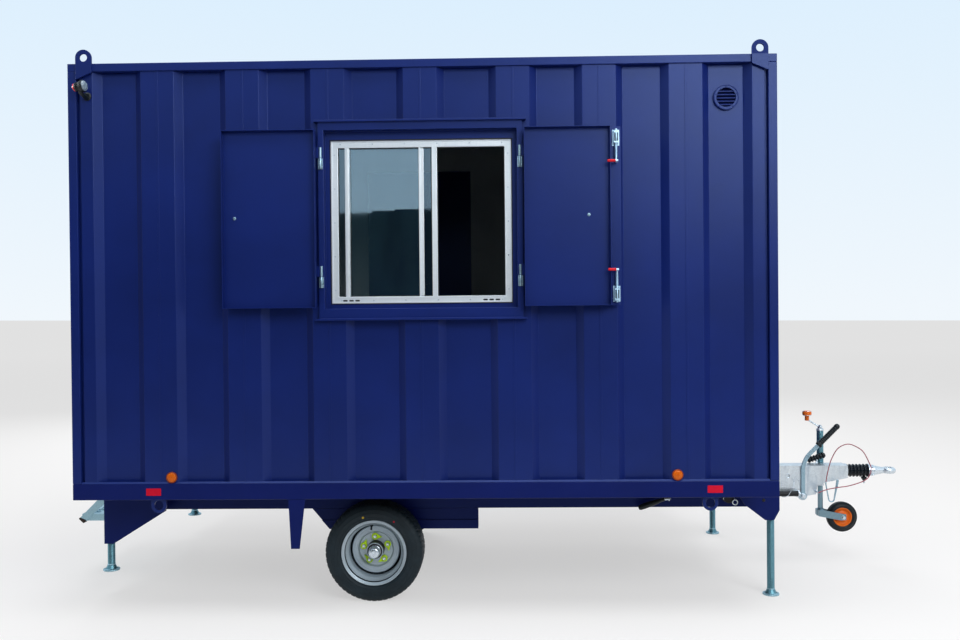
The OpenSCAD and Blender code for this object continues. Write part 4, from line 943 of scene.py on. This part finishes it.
# ---- legs and step
LEG_Y, STEP_HALF = 725, 345
for tag, sy in (("near", -1), ("far", 1)):
    bm = bmesh.new()
    add_lathe(bm, P(1854, sy * 759, 532), Y3 * sy,
              [(9, 0), (9, 2.4), (6.5, 3), (6.5, 7), (5.5, 8.5), (0, 8.5)], 20)
    piece(tag + "_leg_lock_pin", bm, "black", smooth=40)
    for end, x, z0 in (("front", 1900.0, 0.0), ("rear", -1806.0, 148.0)):
        bm = bmesh.new()
        add_lathe(bm, P(x, sy * LEG_Y, z0), Z3,
                  [(45.2, 1.5), (45.8, 3), (45.8, 6), (44.5, 8.6), (36, 9.6), (33.6, 11)], 40)
        add_lathe(bm, P(x, sy * LEG_Y, z0 + 33), Z3, [(20.7, -3), (22.4, -1), (22.4, 2), (20.7, 4)], 32)
        piece("%s_%s_foot_rim" % (tag, end), bm, "step", "%s_%s_leg" % (tag, end), smooth=40)

bm = bmesh.new()
for sy in (-1, 1):
    y = sy * (STEP_HALF + 4)
    add_prism(bm, [(-2159.5, 357), (-2152, 364), (-2120, 350), (-2112, 339), (-2132, 330)], y - 9, y + 9)
piece("step_end_caps", bm, "brown", bevel=0.003)
bm = bmesh.new()
for sy in (-1, 1):
    for x, z in ((-1846, 650), (-1846, 664), (-1866, 652)):
        add_hex(bm, P(x, sy * (STEP_HALF + 8), z), Y3 * sy, 17, 8)
piece("step_bolts", bm, "zinc")
bm = bmesh.new()
for i in range(3):
    for j in range(-5, 6):
        c = P(-2072 + i * 80, j * STEP_HALF / 6, 385)
        add_lathe(bm, c, Z3, [(20, -0.4), (21, 1.0), (19, 2.6), (17.2, 2.4), (16.8, -3.5)], 16)
piece("step_tread_dimples", bm, "step", smooth=50)

# ---- tow gear
# Ends of the bellows, the handbrake's pivot and the axis of the brake strut
NOSE, COLLAR = 2572.0, 2722.0
PIVOT_X, PIVOT_Z = 2290, 418
STRUT_Y, STRUT_Z = -95, 438
FOLDS = 7
FOLD = ((0.04, 31), (0.16, 33), (0.30, 38.5), (0.42, 40.4), (0.58, 40.4), (0.70, 38.5), (0.84, 33), (0.96, 31))
pitch = (COLLAR - NOSE) / FOLDS
prof = [(26, 0)] + [(r, (k + t) * pitch) for k in range(FOLDS) for t, r in FOLD] + [(26, FOLDS * pitch)]
bm = bmesh.new()
add_lathe(bm, P(NOSE, 0, TOW_Z), X3, prof, 48)
bell = piece("bellows_folds", bm, "bellows", smooth=60)
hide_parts("bellows")

bm = bmesh.new()
add_lathe(bm, P(NOSE - 2, 0, TOW_Z), X3, [(34, 0), (43, 0), (43, 9), (41.5, 10.5), (34, 10.5)], 48)
add_lathe(bm, P(COLLAR - 8, 0, TOW_Z), X3, [(33, 0), (41.5, 0), (41.5, 7), (33, 7)], 48)
add_lathe(bm, P(COLLAR + 6, 0, TOW_Z), X3, [(32, 0), (34.4, 1), (34.4, 21), (32, 22)], 48)
for a in (40, 140, 220, 320):
    t = math.radians(a)
    y, z = polar(0, TOW_Z, 33.8, t)
    add_hex(bm, P(COLLAR + 17, y, z), Vector((0, math.cos(t), math.sin(t))), 13, 7)
piece("tow_shaft_clips", bm, "zinc", smooth=35)

# Bright rings in the coupling's pin holes
bm = bmesh.new()
for sy in (-1, 1):
    add_lathe(bm, P(2198, sy * 58, 542), Y3 * sy, [(10.9, -7), (10.9, 0.8), (12.6, 1.4), (14.2, 0)], 32)
    add_lathe(bm, P(2198, sy * 54.5, 542), Y3 * sy, [(10.9, -3), (10, 0), (0, 0.6)], 32)
piece("pin_hole_rings", bm, "zinc", smooth=40)
# Nuts on the pivot of the handbrake
bm = bmesh.new()
add_hex(bm, P(PIVOT_X, -77, PIVOT_Z), -Y3, 24, 9)
add_lathe(bm, P(PIVOT_X, -73.2, PIVOT_Z), -Y3, [(17, 0), (17, 2.6), (14, 3.4)], 28)
add_lathe(bm, P(PIVOT_X, 58, PIVOT_Z), Y3, [(19, 0), (19, 3), (16, 4)], 28)
add_hex(bm, P(PIVOT_X, 61, PIVOT_Z), Y3, 24, 11)
piece("brake_pivot_nuts", bm, "zinc")
# Steel caps of the brake strut, and the rod that leads up into the drawbar
bm = bmesh.new()
add_lathe(bm, P(2258, STRUT_Y, STRUT_Z), X3,
          [(17.4, -9), (18.2, -7), (18.2, -1), (15, 1), (7, 1.6), (7, 9), (0, 9)], 28)
add_lathe(bm, P(2113, STRUT_Y, STRUT_Z), -X3,
          [(17.4, -9), (18.2, -7), (18.2, -1), (12, 1), (7, 1.6), (7, 7), (0, 7)], 28)
rod = [(2113, STRUT_Y, STRUT_Z), (2095, STRUT_Y, STRUT_Z), (2060, -88, 443), (2000, -66, 453), (1940, -40, 468),
       (1895, -22, 484), (1880, -16, 495)]
add_tube(bm, [P(*c) for c in rod], 6.0, 12)
piece("brake_strut_ends", bm, "zinc", smooth=40)
# Wire clip that holds the strut to the coupling
bm = bmesh.new()
clip = [(2228, -60, 522), (2224, -104, 512), (2215, -117, 492), (2200, -118, 458), (2184, -115, 430),
        (2166, -102, 418), (2152, -88, 418)]
add_tube(bm, [P(*c) for c in clip], 2.3, 8)
piece("brake_strut_clip", bm, "zinc", smooth=50)
# Small plug under the bellows, with its pin
bm = bmesh.new()
add_lathe(bm, P(2690, -8, 528), -Z3, [(9, 0), (17, 3), (18, 10), (12, 18), (9, 24), (0, 24)], 24)
piece("bellows_plug", bm, "rubber", smooth=45)
bm = bmesh.new()
add_lathe(bm, P(2690, -8, 504), -Z3, [(5, 0), (5, 9), (6.5, 10), (6.5, 15), (3, 20), (0, 20)], 16)
piece("bellows_plug_pin", bm, "zinc", smooth=45)

# Handbrake grip: rubber rings and an end collar
GRIP_AT = P(2387, -68, 736)
along = Vector((math.cos(math.radians(45)), 0, math.sin(math.radians(45))))
bm = bmesh.new()
add_lathe(bm, GRIP_AT, along, [(17.5, -4), (21, -2), (21.5, 3), (20.6, 9), (17, 12), (16.3, 13)], 28)
for k in range(11):
    add_lathe(bm, GRIP_AT + along * (0.022 + 0.0115 * k), along,
              [(15.8, 0), (17.2, 1.6), (17.4, 4.2), (15.8, 6)], 28)
add_lathe(bm, GRIP_AT + along * 0.150, along,
          [(15.8, 0), (17.4, 3), (17.6, 12), (16.4, 19), (12.5, 25.5), (6, 29), (0, 29.6)], 28)
piece("handbrake_grip_rings", bm, "rubber", "handbrake", smooth=45)
# Jockey clamp toggle: ribbed black sleeve
JX, JY = 2448.0, 87.0
TOGGLE_LEAN, TOGGLE_PITCH = math.radians(72), 18.6
toggle = Vector((math.sin(TOGGLE_LEAN), 0, math.cos(TOGGLE_LEAN)))
RIB = ((16.5, 3), (19, 6), (19, 11), (16.5, 14), (13.6, 15.5), (13.6, 18))
prof = [(0, -2), (11, -2), (14.6, 1)] + [(r, t + k * TOGGLE_PITCH) for k in range(6) for r, t in RIB]
prof += [(13, 113), (10, 115), (0, 115)]
bm = bmesh.new()
add_lathe(bm, P(JX - 90, JY - 35, 622), toggle, prof, 28)
piece("clamp_toggle_sleeve", bm, "rubber", smooth=35)
# Clamp band and its bolt
bm = bmesh.new()
add_lathe(bm, P(JX, JY, 545), Z3, [(29.2, 3), (31, 5), (31, 45), (29.2, 47)], 40)
add_hex(bm, P(JX + 24, JY - 26, 570), -Y3, 17, 9)
piece("clamp_band", bm, "galv", smooth=35)
# Tube collars
bm = bmesh.new()
add_lathe(bm, P(JX, JY, 455), Z3, [(21.1, 0), (23.4, 1), (23.4, 16), (21.1, 18)], 36)
add_lathe(bm, P(JX, JY, 806), Z3, [(21.1, 0), (22.8, 1), (22.8, 12), (21, 14.2), (15.2, 14.2)], 36)
piece("jockey_tube_collars", bm, "galv", smooth=40)
# Knob of the crank
bm = bmesh.new()
add_lathe(bm, P(JX - 82, JY, 872), Z3,
          [(12.4, 0), (13.4, 1.5), (13.4, 26), (15, 31), (24, 34), (27.8, 37), (28.4, 42), (28.4, 54), (27, 59),
           (22, 61.6), (6, 62.2), (5, 61), (0, 61)], 36)
piece("crank_knob", bm, "orange", "jockey_crank", smooth=35)
bm = bmesh.new()
add_hex(bm, P(JX, JY, 836), Z3, 17, 8)
piece("crank_nut", bm, "zinc", "jockey_crank")
# Jockey wheel: pin nuts, tread ribs and sidewall beads
JW_X, JW_Z = 2582, 254
bm = bmesh.new()
for sy in (-1, 1):
    o = P(JW_X, JY + sy * 38.5, JW_Z)
    add_lathe(bm, o, Y3 * sy, [(14, -1), (14, 1.5), (12, 2)], 24)
    add_hex(bm, o + Y3 * sy * 0.0015, Y3 * sy, 19, 9)
piece("jockey_pin_nuts", bm, "zinc", "jockey_fork")
bm = bmesh.new()
for y, r0, r1 in ((-12.5, 92.2, 94.2), (0, 94.6, 95.4), (12.5, 92.2, 94.2)):
    add_lathe(bm, P(JW_X, JY + y, JW_Z), Y3, [(r0, -3.4), (r1, -2), (r1, 2), (r0, 3.4)], 72)
for sy in (-1, 1):
    add_lathe(bm, P(JW_X, JY + sy * 25, JW_Z), Y3 * sy, [(66, -4), (68, -0.5), (72, 0.8), (75, -0.2), (77, -1)], 72)
piece("jockey_tread_ribs", bm, "rubber", "jockey_wheel", smooth=45)

# ---- fittings under the front of the cabin
HANDLE_Y = -690
SOCKET = P(1680, -634, 528)
RING_X, RING_Y, RING_Z = 1713, -692, 508
bm = bmesh.new()
add_tube(bm, [P(1312, HANDLE_Y, 526), P(1340, HANDLE_Y, 528), P(1352, -676, 528), P(1352, -634, 528)], 7.0, 12)
add_lathe(bm, P(1335, HANDLE_Y, 527.6), X3, [(0, 6), (11, 6), (11, 12), (0, 12)], 20)
piece("stored_handle_shank", bm, "zinc", smooth=40)
bm = bmesh.new()
g0, g1 = P(1318, HANDLE_Y, 526.5), P(1172, HANDLE_Y, 477)
add_lathe(bm, g0, g1 - g0, [(0, 0), (9.5, 0), (10.5, 3), (10.5, 26), (13, 40), (15.5, 80), (16.5, 120), (15.5, 142),
                            (11, 152), (0, 154)], 24)
piece("stored_handle_grip", bm, "rubber", smooth=45)
bm = bmesh.new()
add_lathe(bm, SOCKET, -Y3,
          [(30, 0), (30, 5), (24, 6), (24, 40), (27, 42), (27, 56), (22, 58), (22, 54), (0, 54)], 32)
piece("lead_socket", bm, "black", smooth=40)
bm = bmesh.new()
ring = [P(x, RING_Y, z) for x, z in (polar(RING_X, RING_Z, 14, t) for t in turns(24))]
add_tube(bm, ring, 3.4, 10, closed=True)
add_lathe(bm, SOCKET, -Y3, [(24.2, 16), (25.6, 17), (25.6, 24), (24.2, 25)], 32)
add_tube(bm, [P(1690, -665, 545), P(1706, -680, 538), P(RING_X, RING_Y, RING_Z + 16)], 3.0, 8)
piece("lead_socket_ring", bm, "zinc", smooth=45)

# ---- doors
# Half width, foot and head of both doors
DOOR_HALF, DOOR_Z0, DOOR_Z1 = 390.0, 737.0, 2645.0
TRIM_U, TRIM_Z0, TRIM_Z1, TRIM = DOOR_HALF - 4, DOOR_Z0 + 4, DOOR_Z1 - 4, 10
LOCK_U = DOOR_HALF - 60


def on_rear(u, v, z):
    """u along the doorway, v outwards from the frame's face."""
    return P(-1830 - v, u, z)


def on_side(u, v, z):
    return P(-195 + u, FRAME_FACE + v, z)


for tag, body, D, outv in (("rear", "cabin", on_rear, -X3), ("side", "side_door", on_side, Y3)):
    bm = bmesh.new()
    for u0, u1, z0, z1 in ((-TRIM_U, TRIM_U, TRIM_Z0, TRIM_Z0 + TRIM), (-TRIM_U, TRIM_U, TRIM_Z1 - TRIM, TRIM_Z1),
                           (-TRIM_U, -TRIM_U + TRIM, TRIM_Z0 + TRIM, TRIM_Z1 - TRIM),
                           (TRIM_U - TRIM, TRIM_U, TRIM_Z0 + TRIM, TRIM_Z1 - TRIM)):
        add_block(bm, [D(u, v, z) for u in (u0, u1) for v in (-2.5, 1.5) for z in (z0, z1)])
    piece(tag + "_door_edge_trim", bm, "navy", body, bevel=0.0012)
    bm = bmesh.new()
    add_lathe(bm, D(LOCK_U, 3, DOOR_Z0 + 975), outv, [(11, 0), (11, 3), (8.5, 4), (8.5, 9), (7, 10.5), (0, 10.5)], 24)
    for dz in (940, 1100):
        add_screw(bm, D(LOCK_U, 3, DOOR_Z0 + dz), outv, 4.5, 2.2)
    add_lathe(bm, D(LOCK_U, 3, DOOR_Z0 + 1055), outv, [(17, 0), (17, 4), (12, 6), (9, 6)], 28)
    piece(tag + "_door_lock", bm, "zinc", body, smooth=40)
    bm = bmesh.new()
    for z in (940, 1690, 2350):
        for du, dz in ((35, 76), (35, 104), (70, 76), (70, 104)):
            add_screw(bm, D(-397 + du, 13, z + dz), outv, 4.5, 2.2)
    piece(tag + "_door_hinge_screws", bm, "zinc", body, smooth=40)
